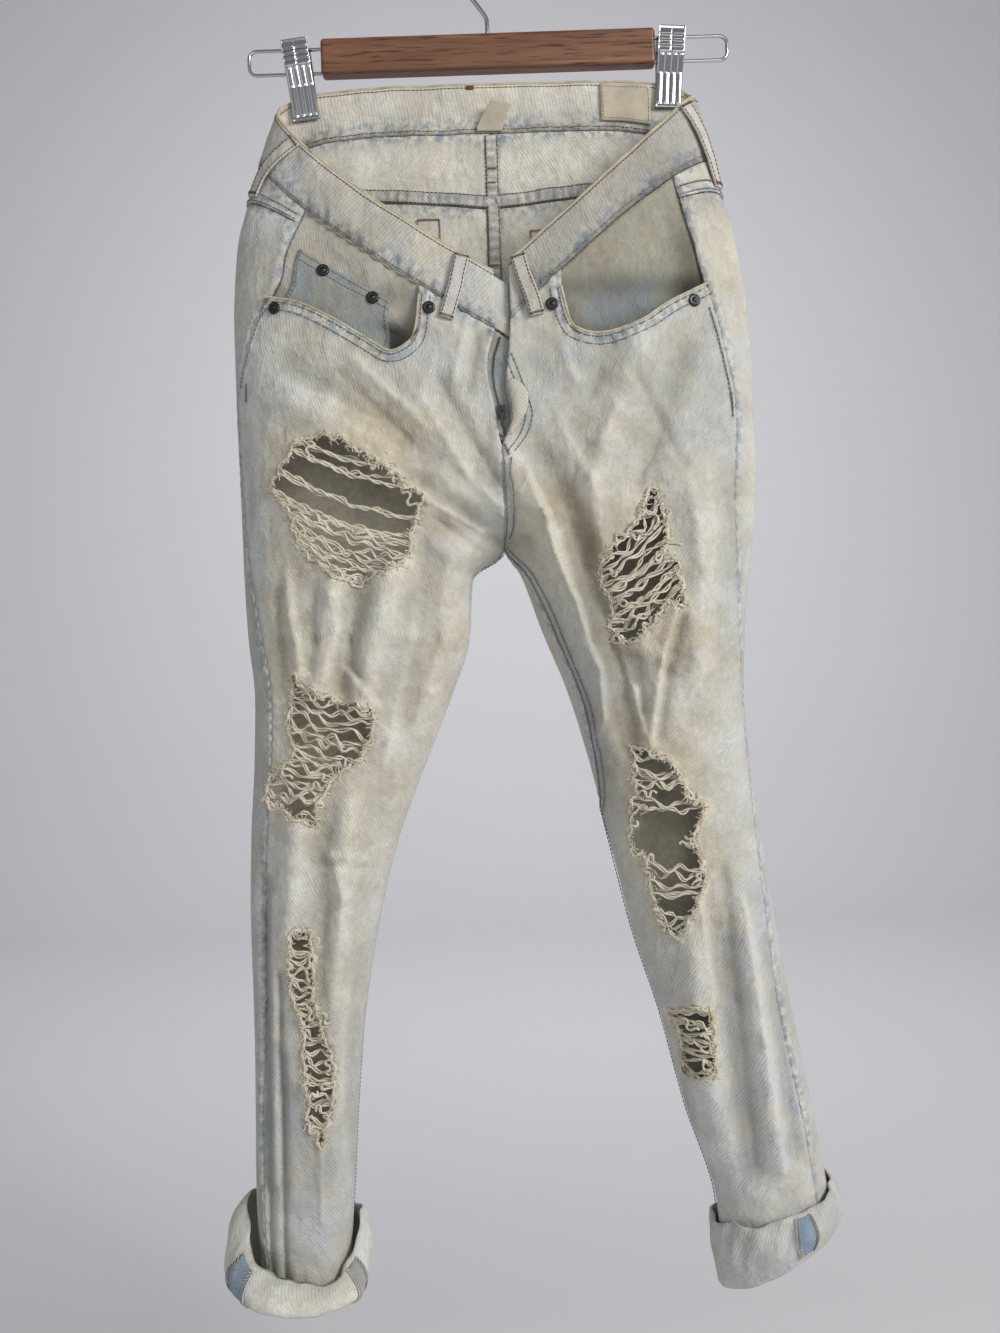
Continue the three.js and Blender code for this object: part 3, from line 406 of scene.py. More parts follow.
def pathLength(points, axis):
    steps = np.linalg.norm(np.diff(points, axis=axis), axis=-1)
    zero = np.zeros_like(np.take(steps, [0], axis=axis))
    return np.concatenate([zero, np.cumsum(steps, axis=axis)], axis=axis)


def edgeDistances(points):
    down, across = pathLength(points, 0), pathLength(points, 1)
    return down, down[-1:] - down, across, across[:, -1:] - across


def sampleAt(values, lengths, where):
    return np.stack([np.interp(where, lengths, values[:, c]) for c in range(values.shape[1])], -1)


def evenRows(side, first, last, step):
    v = np.linspace(first, last, 500)
    lengths = pathLength(jeansPoint(side, v, frontAngle(side, v, 0.5)), 0)
    return np.interp(np.linspace(0, lengths[-1], int(lengths[-1] / step) + 1), lengths, v)


# Distance to an outline, below 0 inside, and the nearest place on it
def nearestOnOutline(outline, x, z):
    points = np.stack([x.ravel(), z.ravel()], -1)
    best = np.full(len(points), np.inf)
    place = np.zeros_like(points)
    inside = np.zeros(len(points), bool)
    for a, b in zip(outline, np.roll(outline, -1, axis=0)):
        edge = b - a
        t = np.clip((points - a) @ edge / max(edge @ edge, 1e-9), 0, 1)
        foot = a + t[:, None] * edge
        distance = np.linalg.norm(points - foot, axis=1)
        nearer = distance < best
        best[nearer] = distance[nearer]
        place[nearer] = foot[nearer]
        crosses = (a[1] > points[:, 1]) != (b[1] > points[:, 1])
        rise = edge[1] if edge[1] else 1e-9
        inside ^= crosses & (points[:, 0] < a[0] + (points[:, 1] - a[1]) * edge[0] / rise)
    signed = np.where(inside, -best, best)
    return signed.reshape(x.shape), place.reshape(x.shape + (2,))


def ragged(outline, step, amount):
    out = []
    outline = np.array(outline, float)
    for a, b in zip(outline, np.roll(outline, -1, axis=0)):
        count = max(int(np.linalg.norm(b - a) / step), 1)
        across = np.array([b[1] - a[1], a[0] - b[0]]) / max(np.linalg.norm(b - a), 1e-9)
        for i in range(count):
            out.append(a + (b - a) * i / count + across * rng.normal(0, amount) * (i > 0))
    return np.array(out)


def blurred(values, rounds):
    for _ in range(rounds):
        wide = np.pad(values, 1, mode="edge")
        values = (wide[:-2, 1:-1] + wide[2:, 1:-1] + wide[1:-1, :-2] + wide[1:-1, 2:] + values) / 5
    return values


# Painted shade: the cloth is darker in the hollows of the folds and lighter on their ridges
def foldShade(tables, x, z, rounds):
    height = foldHeight(tables, x, z)
    hollow = height - blurred(height, rounds)
    return np.clip(0.5 + hollow / 4.5, 0, 1)


def zones(table, x, z):
    total = np.zeros_like(x)
    for x0, z0, wide, tall, size in table:
        total += size * blob(x, z, x0, z0, wide, tall)
    return np.clip(total, 0, 1)


# Blue zones, zones of painted shade, and yellowed zones on the front: x, z, half width, half height, strength
blueZones = [
    [-170, -240, 26, 60, 0.7],
    [-110, -345, 90, 16, 0.45],
    [-40, -330, 30, 40, 0.35],
    [-192, -470, 16, 120, 0.7],
    [-196, -700, 14, 200, 0.6],
    [-160, -900, 40, 90, 0.45],
    [-90, -540, 20, 40, 0.3],
    [-50, -470, 26, 60, 0.3],
    [60, -335, 60, 18, 0.6],
    [30, -380, 24, 50, 0.5],
    [165, -330, 26, 60, 0.6],
    [120, -360, 50, 34, 0.35],
    [176, -480, 18, 110, 0.5],
    [60, -600, 16, 110, 0.5],
    [175, -700, 26, 130, 0.4],
    [180, -880, 50, 90, 0.5],
    [110, -800, 20, 80, 0.35],
    [0, -450, 10, 60, 0.6],
    [165, -830, 70, 150, 0.45],
    [-165, -930, 60, 120, 0.35],
]
# Painted shade: these zones darken the right hip and side, the right inner thigh and knee, and the left shin
paintedShadeZones = [
    [110, -350, 70, 60, 0.5],
    [150, -470, 40, 90, 0.45],
    [62, -520, 22, 80, 0.95],
    [75, -620, 20, 60, 0.8],
    [-165, -850, 40, 120, 0.75],
]
stainZones = [
    [-110, -410, 90, 60, 0.75],
    [-60, -380, 60, 50, 0.5],
    [-115, -520, 70, 60, 0.6],
    [-140, -600, 60, 60, 0.55],
    [-130, -690, 50, 60, 0.5],
    [60, -440, 50, 70, 0.6],
    [95, -520, 60, 80, 0.8],
    [110, -650, 50, 80, 0.75],
    [125, -760, 40, 60, 0.45],
    [-155, -830, 30, 90, 0.3],
    [0, -250, 160, 60, 0.4],
    [-90, -230, 70, 50, 0.35],
]


# Adds a node with its settings, fills or links its inputs and gives back one of its outputs
def addNode(tree, kind, inputs=(), output=0, **settings):
    node = tree.nodes.new("ShaderNode" + kind)
    for name, value in settings.items():
        setattr(node, name, value)
    for name, value in inputs.items() if isinstance(inputs, dict) else enumerate(inputs):
        if isinstance(value, bpy.types.NodeSocket):
            tree.links.new(value, node.inputs[name])
        else:
            node.inputs[name].default_value = value
    return node.outputs[output]


def hexColour(code):
    parts = [int(code[i:i + 2], 16) / 255 for i in (1, 3, 5)]
    return tuple(p / 12.92 if p <= 0.04045 else ((p + 0.055) / 1.055) ** 2.4 for p in parts) + (1,)


def newMaterial(name, colour, roughness, metallic=0.0):
    material = bpy.data.materials.new(name)
    material.use_nodes = True
    shader = material.node_tree.nodes["Principled BSDF"]
    shader.inputs["Base Color"].default_value = hexColour(colour)
    shader.inputs["Roughness"].default_value = roughness
    shader.inputs["Metallic"].default_value = metallic
    return material, material.node_tree, shader


# Attributes painted on the cloth; shade is painted shade and light
paintKeys = ("seam", "blue", "stain", "worn", "shade")
# Twill: the real ribs lie about 1.2 mm apart, too fine to show, so they are drawn 2.1 mm apart
weave = {"rib": 2.1, "lean": 0.7, "ribShare": 0.28, "yarnShare": 0.72, "bump": 0.6}


def clothMaterial(name, look):
    material, tree, shader = newMaterial(name, look["pale"], 0.95)
    add = partial(addNode, tree)
    spot, uv = (add("TexCoord", output=key) for key in ("Object", "UV"))
    painted = {key: add("Attribute", output="Fac", attribute_name=key) for key in paintKeys}
    turned = add("Mapping", {"Vector": uv, "Rotation": (0, 0, weave["lean"])})
    patterns = {  # where it is read, size in millimetres, detail, roughness
        "blotch": (spot, 75, 5, 0.6),  # clouds of bleach
        "cloud": (spot, 24, 6, 0.65),  # patches of wear
        "speckle": (spot, 6, 4, 0.6),  # worn spots along the seams
        "streak": (add("Mapping", {"Vector": uv, "Scale": (1, 0.05, 1)}), 2.6, 4, 0.55),  # faded warp
        "slub": (add("Mapping", {"Vector": uv, "Scale": (0.14, 1, 1)}), 1.0, 2, 0.55),  # uneven weft
        "yarn": (add("Mapping", {"Vector": turned, "Scale": (1, 0.13, 1)}), 1.3, 2, 0.55),  # along the ribs
        "ridge": (add("Mapping", {"Vector": spot, "Scale": (1, 1, 0.6)}), 34, 3, 0.55),  # sharp wrinkles
        "crumple": (spot, 11, 3, 0.55),  # small dents
    }
    noise = {}
    for key, (vector, size, detail, roughness) in patterns.items():
        values = {"Vector": vector, "Scale": 1 / (size * mm), "Detail": detail, "Roughness": roughness}
        noise[key] = add("TexNoise", values)
    values = {"Vector": turned, "Scale": 0.314 / (weave["rib"] * mm), "Distortion": 1.6, "Detail": 2.0}
    rib = add("TexWave", values, "Fac")
    yarn = add("Math", [noise["yarn"], weave["yarnShare"]], operation="MULTIPLY")
    twill = add("Math", [rib, weave["ribShare"], yarn], operation="MULTIPLY_ADD")
    bands = {  # the part of each pattern that is used
        "warm": [noise["blotch"], 0.35, 0.68],
        "stain": [noise["blotch"], 0.2, 0.6],
        "fleck": [noise["streak"], 0.45, 0.75],
        "patch": [noise["cloud"], 0.35, 0.6],
        "edge": [noise["speckle"], 0.4, 0.62],
        "frost": [noise["speckle"], 0.54, 0.42],
        "between": [twill, 0.75, 0.15],
    }
    band = {key: add("MapRange", values) for key, values in bands.items()}
    stained, edge, frost = (
        add("Math", [painted[mask], band[key]], operation="MULTIPLY", use_clamp=True)
        for mask, key in (("stain", "stain"), ("seam", "edge"), ("seam", "frost"))
    )
    # Blue is left in patches, in flecks along the warp and between the ribs
    patchy = add("Math", [noise["cloud"], 2.4, -0.75], operation="MULTIPLY_ADD")
    faded = add("Math", [painted["blue"], patchy], operation="MULTIPLY", use_clamp=True)
    flecks = add("Math", [band["fleck"], band["patch"]], operation="MULTIPLY")
    faded = add("Math", [flecks, look["streak"], faded], operation="MULTIPLY_ADD", use_clamp=True)
    between = add("Math", [band["between"], 1.1, 0.6], operation="MULTIPLY_ADD")
    faded = add("Math", [faded, between], operation="MULTIPLY", use_clamp=True)
    layers = [
        (stained, look["stained"], look["stain"]),
        (faded, look["fade"], look["blue"]),
        (edge, look["edge"], look["deep"]),
        (frost, 0.45, "#d3cfc2"),
        (painted["worn"], 0.6, look["thread"]),
    ]
    if "bright" in look:  # painted light: lighter low down and to the left, in metres
        low = add("MapRange", [add("SeparateXYZ", [spot], "Z"), -0.36, -0.42])
        leftward = add("MapRange", [add("SeparateXYZ", [spot], "X"), 0.2, -0.03])
        layers.append((add("Math", [low, leftward], operation="MULTIPLY"), 0.95, look["bright"]))
    ends = {0: band["warm"], 6: hexColour(look["pale"]), 7: hexColour(look["warm"])}
    colour = add("Mix", ends, 2, data_type="RGBA")
    for mask, strength, code in layers:
        factor = add("Math", [mask, strength], operation="MULTIPLY")
        colour = add("Mix", {0: factor, 6: colour, 7: hexColour(code)}, 2, data_type="RGBA")
    grain = add("Math", [noise["slub"], 0.26, 0.81], operation="MULTIPLY_ADD")
    grain = add("Math", [grain, 0.11], operation="SUBTRACT")
    grain = add("Math", [twill, 0.34, grain], operation="MULTIPLY_ADD")
    shades = [(noise["cloud"], 0.8, 0.6), (noise["speckle"], 0.34, 0.83), (noise["streak"], 0.3, 0.85)]
    # the shade attribute multiplies in painted shade and light
    for values in shades + [(painted["shade"], 0.34, 0.84)]:
        shade = add("Math", values, operation="MULTIPLY_ADD")
        grain = add("Math", [grain, shade], operation="MULTIPLY")
    ends = {0: 1.0, 6: colour, 7: add("CombineColor", [grain, grain, grain])}
    colour = add("Mix", ends, 2, data_type="RGBA", blend_type="MULTIPLY")
    tree.links.new(colour, shader.inputs["Base Color"])
    shader.inputs["Sheen Weight"].default_value = 0.1
    height = add("Math", [noise["slub"], 0.7, twill], operation="MULTIPLY_ADD")
    height = add("Math", [noise["speckle"], 1.4, height], operation="MULTIPLY_ADD")
    ridge = add("Math", [noise["ridge"], 0.5], operation="SUBTRACT")
    ridge = add("Math", [ridge], operation="ABSOLUTE")
    ridge = add("Math", [ridge, -2.2], operation="MULTIPLY")
    crumple = add("Math", [noise["crumple"], 0.3, ridge], operation="MULTIPLY_ADD")
    bump = add("Bump", {"Height": crumple, "Strength": 0.6, "Distance": look["crumple"] * mm})
    bump = add("Bump", {"Height": height, "Strength": 0.6, "Distance": weave["bump"] * mm, "Normal": bump})
    tree.links.new(bump, shader.inputs["Normal"])
    return material


# Bleached cotton denim: matt, nearly white, with slanting ribs, yellowed patches, blue left by the seams, and
# painted shade tinted yellow-brown in the fold hollows
denimLook = {
    "pale": "#cccac3", "warm": "#c1bbab", "stain": "#a8976c", "blue": "#939ca3", "deep": "#71808f",
    "thread": "#d2cab3", "stained": 0.55, "fade": 0.8, "streak": 0.4, "edge": 0.75, "crumple": 5,
}
# The same denim from inside: whiter weft, little blue
insideLook = {
    "pale": "#d5d2c8", "warm": "#cac5b6", "stain": "#a8976c", "blue": "#a3a9aa", "deep": "#6f7d8a",
    "thread": "#c3b997", "stained": 0.3, "fade": 0.5, "streak": 0.1, "edge": 0.9, "crumple": 4,
    # bright: painted light on the inside of the legs
    "bright": "#fbf6e6",
}
# Pocket facing denim, kept from the wash: grey blue and flatter
facingLook = {
    "pale": "#a3a9a6", "warm": "#a7a392", "stain": "#948868", "blue": "#6f8291", "deep": "#5d7082",
    "thread": "#b5ab90", "stained": 0.4, "fade": 0.85, "streak": 0.3, "edge": 0.6, "crumple": 4,
}
# Denim of the turned seam allowance, hardly bleached: the bluest cloth
cuffSeamLook = {
    "pale": "#8b9bab", "warm": "#8192a4", "stain": "#8b9bab", "blue": "#617b92", "deep": "#566f86",
    "thread": "#a9b3bd", "stained": 0.0, "fade": 0.7, "streak": 0.3, "edge": 0.5, "crumple": 3,
}
denim = clothMaterial("denim", denimLook)
denimInside = clothMaterial("denim_inside", insideLook)
facingCloth = clothMaterial("pocket_facing", facingLook)
cuffSeamCloth = clothMaterial("cuff_seam_denim", cuffSeamLook)


def plainCloth(name, colour, dark, size):
    material, tree, shader = newMaterial(name, colour, 0.95)
    spot = addNode(tree, "TexCoord", output="Object")
    values = {"Vector": spot, "Scale": 1 / (size * mm), "Detail": 3, "Roughness": 0.55}
    shade = addNode(tree, "MapRange", [addNode(tree, "TexNoise", values), 0.3, 0.7])
    ends = {0: shade, 6: hexColour(dark), 7: hexColour(colour)}
    tree.links.new(addNode(tree, "Mix", ends, 2, data_type="RGBA"), shader.inputs["Base Color"])
    return material


# Spun cotton, loose yarn and sewing thread: matt, with soft changes of tone along its length
yarnCloth = plainCloth("yarn", "#d8d2c2", "#bab19b", 9)
sewingThread = {
    "slate": plainCloth("slate_thread", "#848a8e", "#666c72", 12),
    "rust": plainCloth("rust_thread", "#7c563c", "#5c412e", 12),
    "blue": plainCloth("blue_thread", "#7f8792", "#666f7b", 12),
    "cream": plainCloth("cream_thread", "#b9b3a1", "#a19a86", 12),
    "white": plainCloth("white_thread", "#d2d0c8", "#b9b7ae", 8),
}
# Folded denim edge and woven cotton tape: matt, cream, mottled by wear
edgeCloth = plainCloth("band_edge", "#c4bca6", "#a1977e", 10)
tapeCloth = plainCloth("label_tape", "#beb6a4", "#a89f8b", 14)


def meshObject(name, points, faces, materials, attributes=None, uv=None):
    mesh = bpy.data.meshes.new(name)
    mesh.from_pydata((np.asarray(points) * mm).tolist(), [], np.asarray(faces).tolist())
    for material in materials:
        mesh.materials.append(material)
    mesh.polygons.foreach_set("use_smooth", np.ones(len(mesh.polygons), bool))
    for key, values in (attributes or {}).items():
        mesh.attributes.new(key, "FLOAT", "POINT").data.foreach_set("value", np.asarray(values, np.float32))
    if uv is not None:
        corners = np.zeros(len(mesh.loops), np.int32)
        mesh.loops.foreach_get("vertex_index", corners)
        flat = (np.asarray(uv) * mm)[corners].astype(np.float32)
        mesh.uv_layers.new(name="UVMap").data.foreach_set("uv", flat.ravel())
    mesh.update()
    piece = bpy.data.objects.new(name, mesh)
    bpy.context.scene.collection.objects.link(piece)
    return piece


def applyModifier(piece, kind, **settings):
    bpy.ops.object.select_all(action="DESELECT")
    piece.select_set(True)
    bpy.context.view_layer.objects.active = piece
    modifier = piece.modifiers.new(kind.title(), kind)
    for key, value in settings.items():
        setattr(modifier, key, value)
    bpy.ops.object.modifier_apply(modifier=modifier.name)


def place(piece, slot, *nodes):
    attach(piece, mainBody)
    if nodes:
        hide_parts(*nodes)
    return piece


def gridFaces(rows, columns, sign):
    a = (np.arange(rows - 1)[:, None] * columns + np.arange(columns - 1)).ravel()
    quads = np.stack([a, a + columns, a + columns + 1, a + 1], -1)
    return quads if sign < 0 else quads[:, ::-1]


# A wall of cloth on a grid of points, with its holes cut and its paint kept as attributes
def clothSheet(name, points, sign, wall, materials, slot, attributes, cut=None, isNode=True):
    rows, columns = points.shape[:2]
    faces = gridFaces(rows, columns, sign)
    flat = points.reshape(-1, 3).copy()
    if cut is not None:
        signed, foot = cut
        signed = signed.ravel()
        gone = signed[faces].mean(axis=1) < 0
        edge = np.intersect1d(faces[gone].ravel(), faces[~gone].ravel())
        edge = edge[np.abs(signed[edge]) < 6]
        flat[edge, 0] = foot.reshape(-1, 2)[edge, 0]
        flat[edge, 2] = foot.reshape(-1, 2)[edge, 1]
        faces = faces[~gone]
    down = np.broadcast_to(pathLength(points, 0).mean(axis=1, keepdims=True), (rows, columns))
    uv = np.stack([pathLength(points, 1).ravel(), down.ravel()], -1)
    full = {key: np.full(points.shape[:2], 0.5 if key == "shade" else 0.0) for key in paintKeys}
    full.update(attributes)
    used, compact = np.unique(faces, return_inverse=True)
    values = {key: np.broadcast_to(value, points.shape[:2]).ravel()[used] for key, value in full.items()}
    piece = meshObject(name, flat[used], compact.reshape(-1, 4), materials, values, uv[used])
    inner = 1 if len(materials) > 1 else 0
    applyModifier(piece, "SOLIDIFY", thickness=wall * mm, offset=-1, material_offset=inner, use_rim=True)
    place(piece, slot, *([name] if isNode else []))


# Rips: outline, slope of the threads (drop to the right), bundles and where they cross, then the tangle:
# count, where it starts and its wave, the loose curls, and heights that stay clear
rips = {
    "left": [
        {"outline": [[-149, -389], [-165, -409], [-172, -422], [-158, -438], [-152, -466], [-128, -486],
                     [-109, -496], [-87, -485], [-69, -474], [-68, -458], [-57, -430], [-72, -425],
                     [-82, -411], [-112, -392], [-131, -384]],
         "slope": 0.36, "bundles": [0.09, 0.13, 0.18, 0.21, 0.36, 0.39, 0.51, 0.54], "strands": 2,
         "tangle": 12, "from": 0.56, "wave": 2.6, "loose": 10},
        {"outline": [[-158, -558], [-152, -568], [-140, -573], [-100, -586], [-102, -606], [-109, -619],
                     [-122, -629], [-135, -641], [-144, -654], [-145, -671], [-177, -657], [-184, -650],
                     [-180, -637], [-164, -622], [-159, -613], [-165, -594], [-160, -584]],
         "slope": 0.3, "bundles": [], "strands": 3, "tangle": 22, "from": 0.04, "wave": 4.2, "loose": 16},
        {"outline": [[-165, -746], [-168, -758], [-169, -789], [-161, -813], [-160, -833], [-161, -866],
                     [-158, -888], [-150, -908], [-144, -888], [-141, -869], [-139, -850], [-144, -828],
                     [-150, -806], [-152, -780], [-152, -758], [-151, -747]],
         "slope": 0.25, "bundles": [], "strands": 3, "tangle": 26, "from": 0.02, "wave": 3.2, "loose": 18},
    ],
    "right": [
        {"outline": [[107, -431], [99, -449], [89, -464], [70, -479], [69, -502], [77, -514], [77, -543],
                     [83, -544], [98, -538], [115, -516], [128, -519], [126, -488], [117, -483],
                     [118, -460], [112, -432]],
         "slope": -0.7, "bundles": [0.5, 0.72], "strands": 3,
         "tangle": 17, "from": 0.03, "wave": 3.4, "loose": 16},
        {"outline": [[89, -620], [112, -629], [120, -639], [128, -658], [142, -664], [130, -687], [139, -715],
                     [127, -744], [116, -762], [107, -758], [101, -741], [99, -722], [95, -702], [88, -702],
                     [83, -687], [90, -646]],
         "slope": 0.1, "bundles": [0.3], "strands": 3, "clear": [-664, -706],
         "tangle": 22, "from": 0.02, "wave": 4.0, "loose": 16},
        {"outline": [[110, -818], [138, -812], [141, -831], [143, -862], [131, -869], [120, -868],
                     [118, -848], [116, -830]],
         "slope": 0.1, "bundles": [], "strands": 3, "tangle": 13, "from": 0.04, "wave": 3.4, "loose": 14},
    ],
}
pocketOpenings = {
    "left": [[-172, -279], [-146, -286], [-117, -302], [-92, -318], [-80, -325], [-69, -322],
             [-61, -312], [-57, -284]],
    "right": [[156, -280], [128, -294], [107, -308], [88, -315], [73, -317], [62, -315],
              [53, -308], [47, -282]],
}
panelSize = {
    "step": 2.6, "columns": 78, "wall": 1.2, "backStep": 4.5, "backColumns": 46,
    "ragStep": 3.2, "rag": 1.3,  # torn edges
    "mouthTop": -120, "pastSide": 60,  # how far the pocket's cut goes on, out of the panel
}


def pucker(distance, along, reach, wave, size):
    wobble = np.sin(2 * math.pi * along / wave + 2.3 * np.sin(along / 31))
    return size * falloff(distance, reach) * wobble


def smoothPath(points, step):
    points = np.array(points, float)
    dense = []
    for i in range(len(points) - 1):
        before, after = points[max(i - 1, 0)], points[min(i + 2, len(points) - 1)]
        a, b = points[i], points[i + 1]
        for t in np.linspace(0, 1, 8, endpoint=False):
            dense.append(0.5 * (2 * a + (b - before) * t + (2 * before - 5 * a + 4 * b - after) * t * t
                                + (3 * a - before - 3 * b + after) * t ** 3))
    dense = np.array(dense + [points[-1]])
    lengths = pathLength(dense, 0)
    return sampleAt(dense, lengths, np.linspace(0, lengths[-1], max(int(lengths[-1] / step), 1) + 1))


def panelSheet(name, side, points, paint, cut=None):
    cloths = [denim, denimInside]
    clothSheet(f"{name}_{side['name']}", points, side["sign"], panelSize["wall"], cloths, "denim", paint, cut)


# Front panels
frontGrids, backGrids = {}, {}
for side in sides:
    rows = evenRows(side, waistSeam + 0.01, hem, panelSize["step"])
    shares = np.linspace(0, 1, panelSize["columns"] + 1)
    angles = frontAngle(side, rows[:, None], shares[None, :])
    points = jeansPoint(side, rows[:, None], angles)
    normals = gridNormals(points, side["sign"])
    fromTop, _, fromSide, fromInner = edgeDistances(points)
    x, z = points[..., 0], points[..., 2]
    opening = smoothPath(pocketOpenings[side["name"]], 3)
    past, top = opening[0, 0] + side["sign"] * panelSize["pastSide"], panelSize["mouthTop"]
    mouth = np.vstack([opening, [[opening[-1, 0], top], [past, top], [past, opening[0, 1]]]])
    mouthSigned, mouthFoot = nearestOnOutline(mouth, x, z)
    signed, foot = mouthSigned.copy(), mouthFoot.copy()
    ripSigned = np.full(x.shape, 999.0)
    for rip in rips[side["name"]]:
        rip["edge"] = ragged(rip["outline"], panelSize["ragStep"], panelSize["rag"])
        own, ownFoot = nearestOnOutline(rip["edge"], x, z)
        nearer = own < signed
        signed[nearer] = own[nearer]
        foot[nearer] = ownFoot[nearer]
        ripSigned = np.minimum(ripSigned, own)
    belowMouth = np.abs(mouthSigned)
    lift = 0.8 * falloff(fromSide, 5, 4) + pucker(fromSide, fromTop, 6, 9, 0.4)
    lift += 0.6 * falloff(fromInner, 6, 4) + pucker(fromInner, fromTop, 7, 8, 0.4)
    lift += pucker(fromTop, fromSide, 9, 11, 0.8)
    lift += 0.9 * falloff(belowMouth, 10, 6) + pucker(belowMouth - 5, fromSide, 5, 8, 0.75)
    lift += 1.2 * falloff(ripSigned, 3.5) * (0.6 + 0.8 * np.sin(fromSide / 3.1) * np.sin(fromTop / 3.7))
    points = points + normals * lift[..., None]
    shade = foldShade(frontTables, x, z, 60)
    seam = 0.3 * falloff(fromSide, 3.5) + 0.4 * falloff(fromInner, 7)
    seam = seam + 0.8 * falloff(fromTop, 8) + 0.9 * falloff(belowMouth - 4, 6)
    paint = {
        "seam": np.clip(seam, 0, 1),
        "blue": np.clip(0.25 + zones(blueZones, x, z), 0, 1),
        # stains, plus painted shade tinted yellow-brown wherever the fold shade is dark
        "stain": np.clip(zones(stainZones, x, z) + 0.6 * np.maximum(0.45 - shade, 0), 0, 1),
        "worn": falloff(np.maximum(ripSigned, 0), 4),
        # painted shade from the folds, darkened further in the zones of painted shade
        "shade": shade - 0.9 * zones(paintedShadeZones, x, z),
    }
    panelSheet("front_panel", side, points, paint, (signed, foot))
    frontGrids[side["name"]] = (points, normals)
print("front panels")

# Back panels and yokes
yokeRows = {"back": 1.95, "side": 1.28, "gap": 0.012, "slantTo": 2.2, "levelFrom": 4.5, "shift": 1.9}
for side in sides:
    shares = np.linspace(0, 1, panelSize["backColumns"] + 1)[None, :]
    yokeFoot = mix(yokeRows["back"], yokeRows["side"], shares)
    downTo = np.linspace(0, 1, 22)[:, None]
    v = mix(waistSeam + 0.01, yokeFoot, downTo)
    points = jeansPoint(side, v, backAngle(side, v, shares))
    normals = gridNormals(points, side["sign"])
    fromTop, toFoot, fromBack, toSide = edgeDistances(points)
    lift = 0.9 * falloff(toFoot, 7, 4) + pucker(toFoot, fromBack, 8, 9, 0.4)
    lift += pucker(fromTop, fromBack, 8, 10, 0.4)
    seam = falloff(toFoot, 9) + falloff(fromBack, 8) + falloff(toSide, 8)
    shade = foldShade(backTables, points[..., 0], points[..., 2], 12)
    paint = {"seam": np.clip(seam + falloff(fromTop, 8), 0, 1), "blue": 0.3, "stain": 0.35, "shade": shade}
    panelSheet("yoke", side, points + normals * lift[..., None], paint)
    slantTo, edge = yokeRows["slantTo"], yokeFoot + yokeRows["gap"]
    body = np.concatenate([[0], evenRows(side, slantTo, hem, panelSize["backStep"])])[:, None]
    blend = smoothStep(slantTo, yokeRows["levelFrom"], body)
    v = np.where(body < slantTo, edge, mix(edge + (body - yokeRows["shift"]), body, blend))
    points = jeansPoint(side, v, backAngle(side, v, shares))
    normals = gridNormals(points, side["sign"])
    fromTop, _, fromBack, toSide = edgeDistances(points)
    lift = 0.8 * falloff(toSide, 6, 4) + pucker(toSide, fromTop, 9, 9, 0.5)
    lift += 0.8 * falloff(fromBack, 6, 4) + pucker(fromBack, fromTop, 9, 9, 0.5)
    x, z = points[..., 0], points[..., 2]
    seam = falloff(toSide, 8) + falloff(fromBack, 8) + falloff(fromTop, 9)
    paint = {
        "seam": np.clip(seam, 0, 1),
        "blue": np.clip(0.25 + zones(blueZones, x, z) * 0.8, 0, 1),
        "stain": np.clip(0.2 + 0.6 * zones(stainZones, -x, z), 0, 1),
        "shade": foldShade(backTables, x, z, 25),
    }
    backGrids[side["name"]] = (points, normals)
    panelSheet("back_panel", side, points + normals * lift[..., None], paint)
print("back panels and yokes")

# Waistband
bandSize = {
    "rows": 16, "frontColumns": 96, "backColumns": 64, "wall": 2.2, "puff": 0.8,
    "rounding": 90, "cornerReach": 20, "cornerDrop": 5,  # where the band turns at the sides
}


def bandStrip(first, last, rows):
    v = np.linspace(first, last, rows)[:, None]
    parts = []
    for side, isFront in ((left, True), (left, False), (right, False), (right, True)):
        start, end = (1, 0) if side is left else (0, 1)
        count = bandSize["frontColumns"] if isFront else bandSize["backColumns"]
        shares = np.linspace(start, end, count + 1)[None, :]
        angle = frontAngle(side, v, shares) if isFront else backAngle(side, v, shares)
        points = jeansPoint(side, v, angle)
        parts.append(points if not parts else points[:, 1:])
    return np.concatenate(parts, axis=1)


points = bandStrip(0, waistSeam, bandSize["rows"])
down = np.linspace(0, 1, bandSize["rows"])[:, None]
bandLength = pathLength(points, 1)
square, rounded = points, points.copy()
for _ in range(bandSize["rounding"]):
    rounded[:, 1:-1] = (rounded[:, :-2] + 2 * rounded[:, 1:-1] + rounded[:, 2:]) / 4
for column in (points[0, :, 0].argmin(), points[0, :, 0].argmax()):
    near = falloff(bandLength - bandLength[:, column:column + 1], bandSize["cornerReach"]) * (1 - down)
    points = mix(points, rounded, near[..., None]) - near[..., None] * [0, 0, bandSize["cornerDrop"]]
bandMoves = (points - square).reshape(-1, 3)
normals = gridNormals(points, 1)
shadedRight = smoothStep(10, 40, points[..., 0]) * smoothStep(-14, -24, points[..., 1])  # painted shade on the right front of the band
toFoot = edgeDistances(points)[1]
lift = bandSize["puff"] * np.sin(math.pi * down) ** 0.6 + pucker(toFoot, bandLength, 9, 10, 0.7)
points = points + normals * lift[..., None]
paint = {
    "seam": 0.9 * falloff(toFoot - 5, 11),
    "blue": 0.45 + 0.35 * np.sin(bandLength / 37) * np.sin(bandLength / 11),
    "stain": 0.4,
    # painted shade: a light and dark ladder near the lower seam, darker at the seam itself and over the right
    # front
    "shade": 0.45 + 0.3 * np.sin(bandLength / 13 + 2 * np.sin(bandLength / 47)) * falloff(toFoot, 22)
    - 0.9 * falloff(toFoot, 6) - 0.75 * shadedRight,
}
clothSheet("waistband", points, 1, bandSize["wall"], [denim, denimInside], "denim", paint)
bandGrid = (points, normals)
print("waistband")

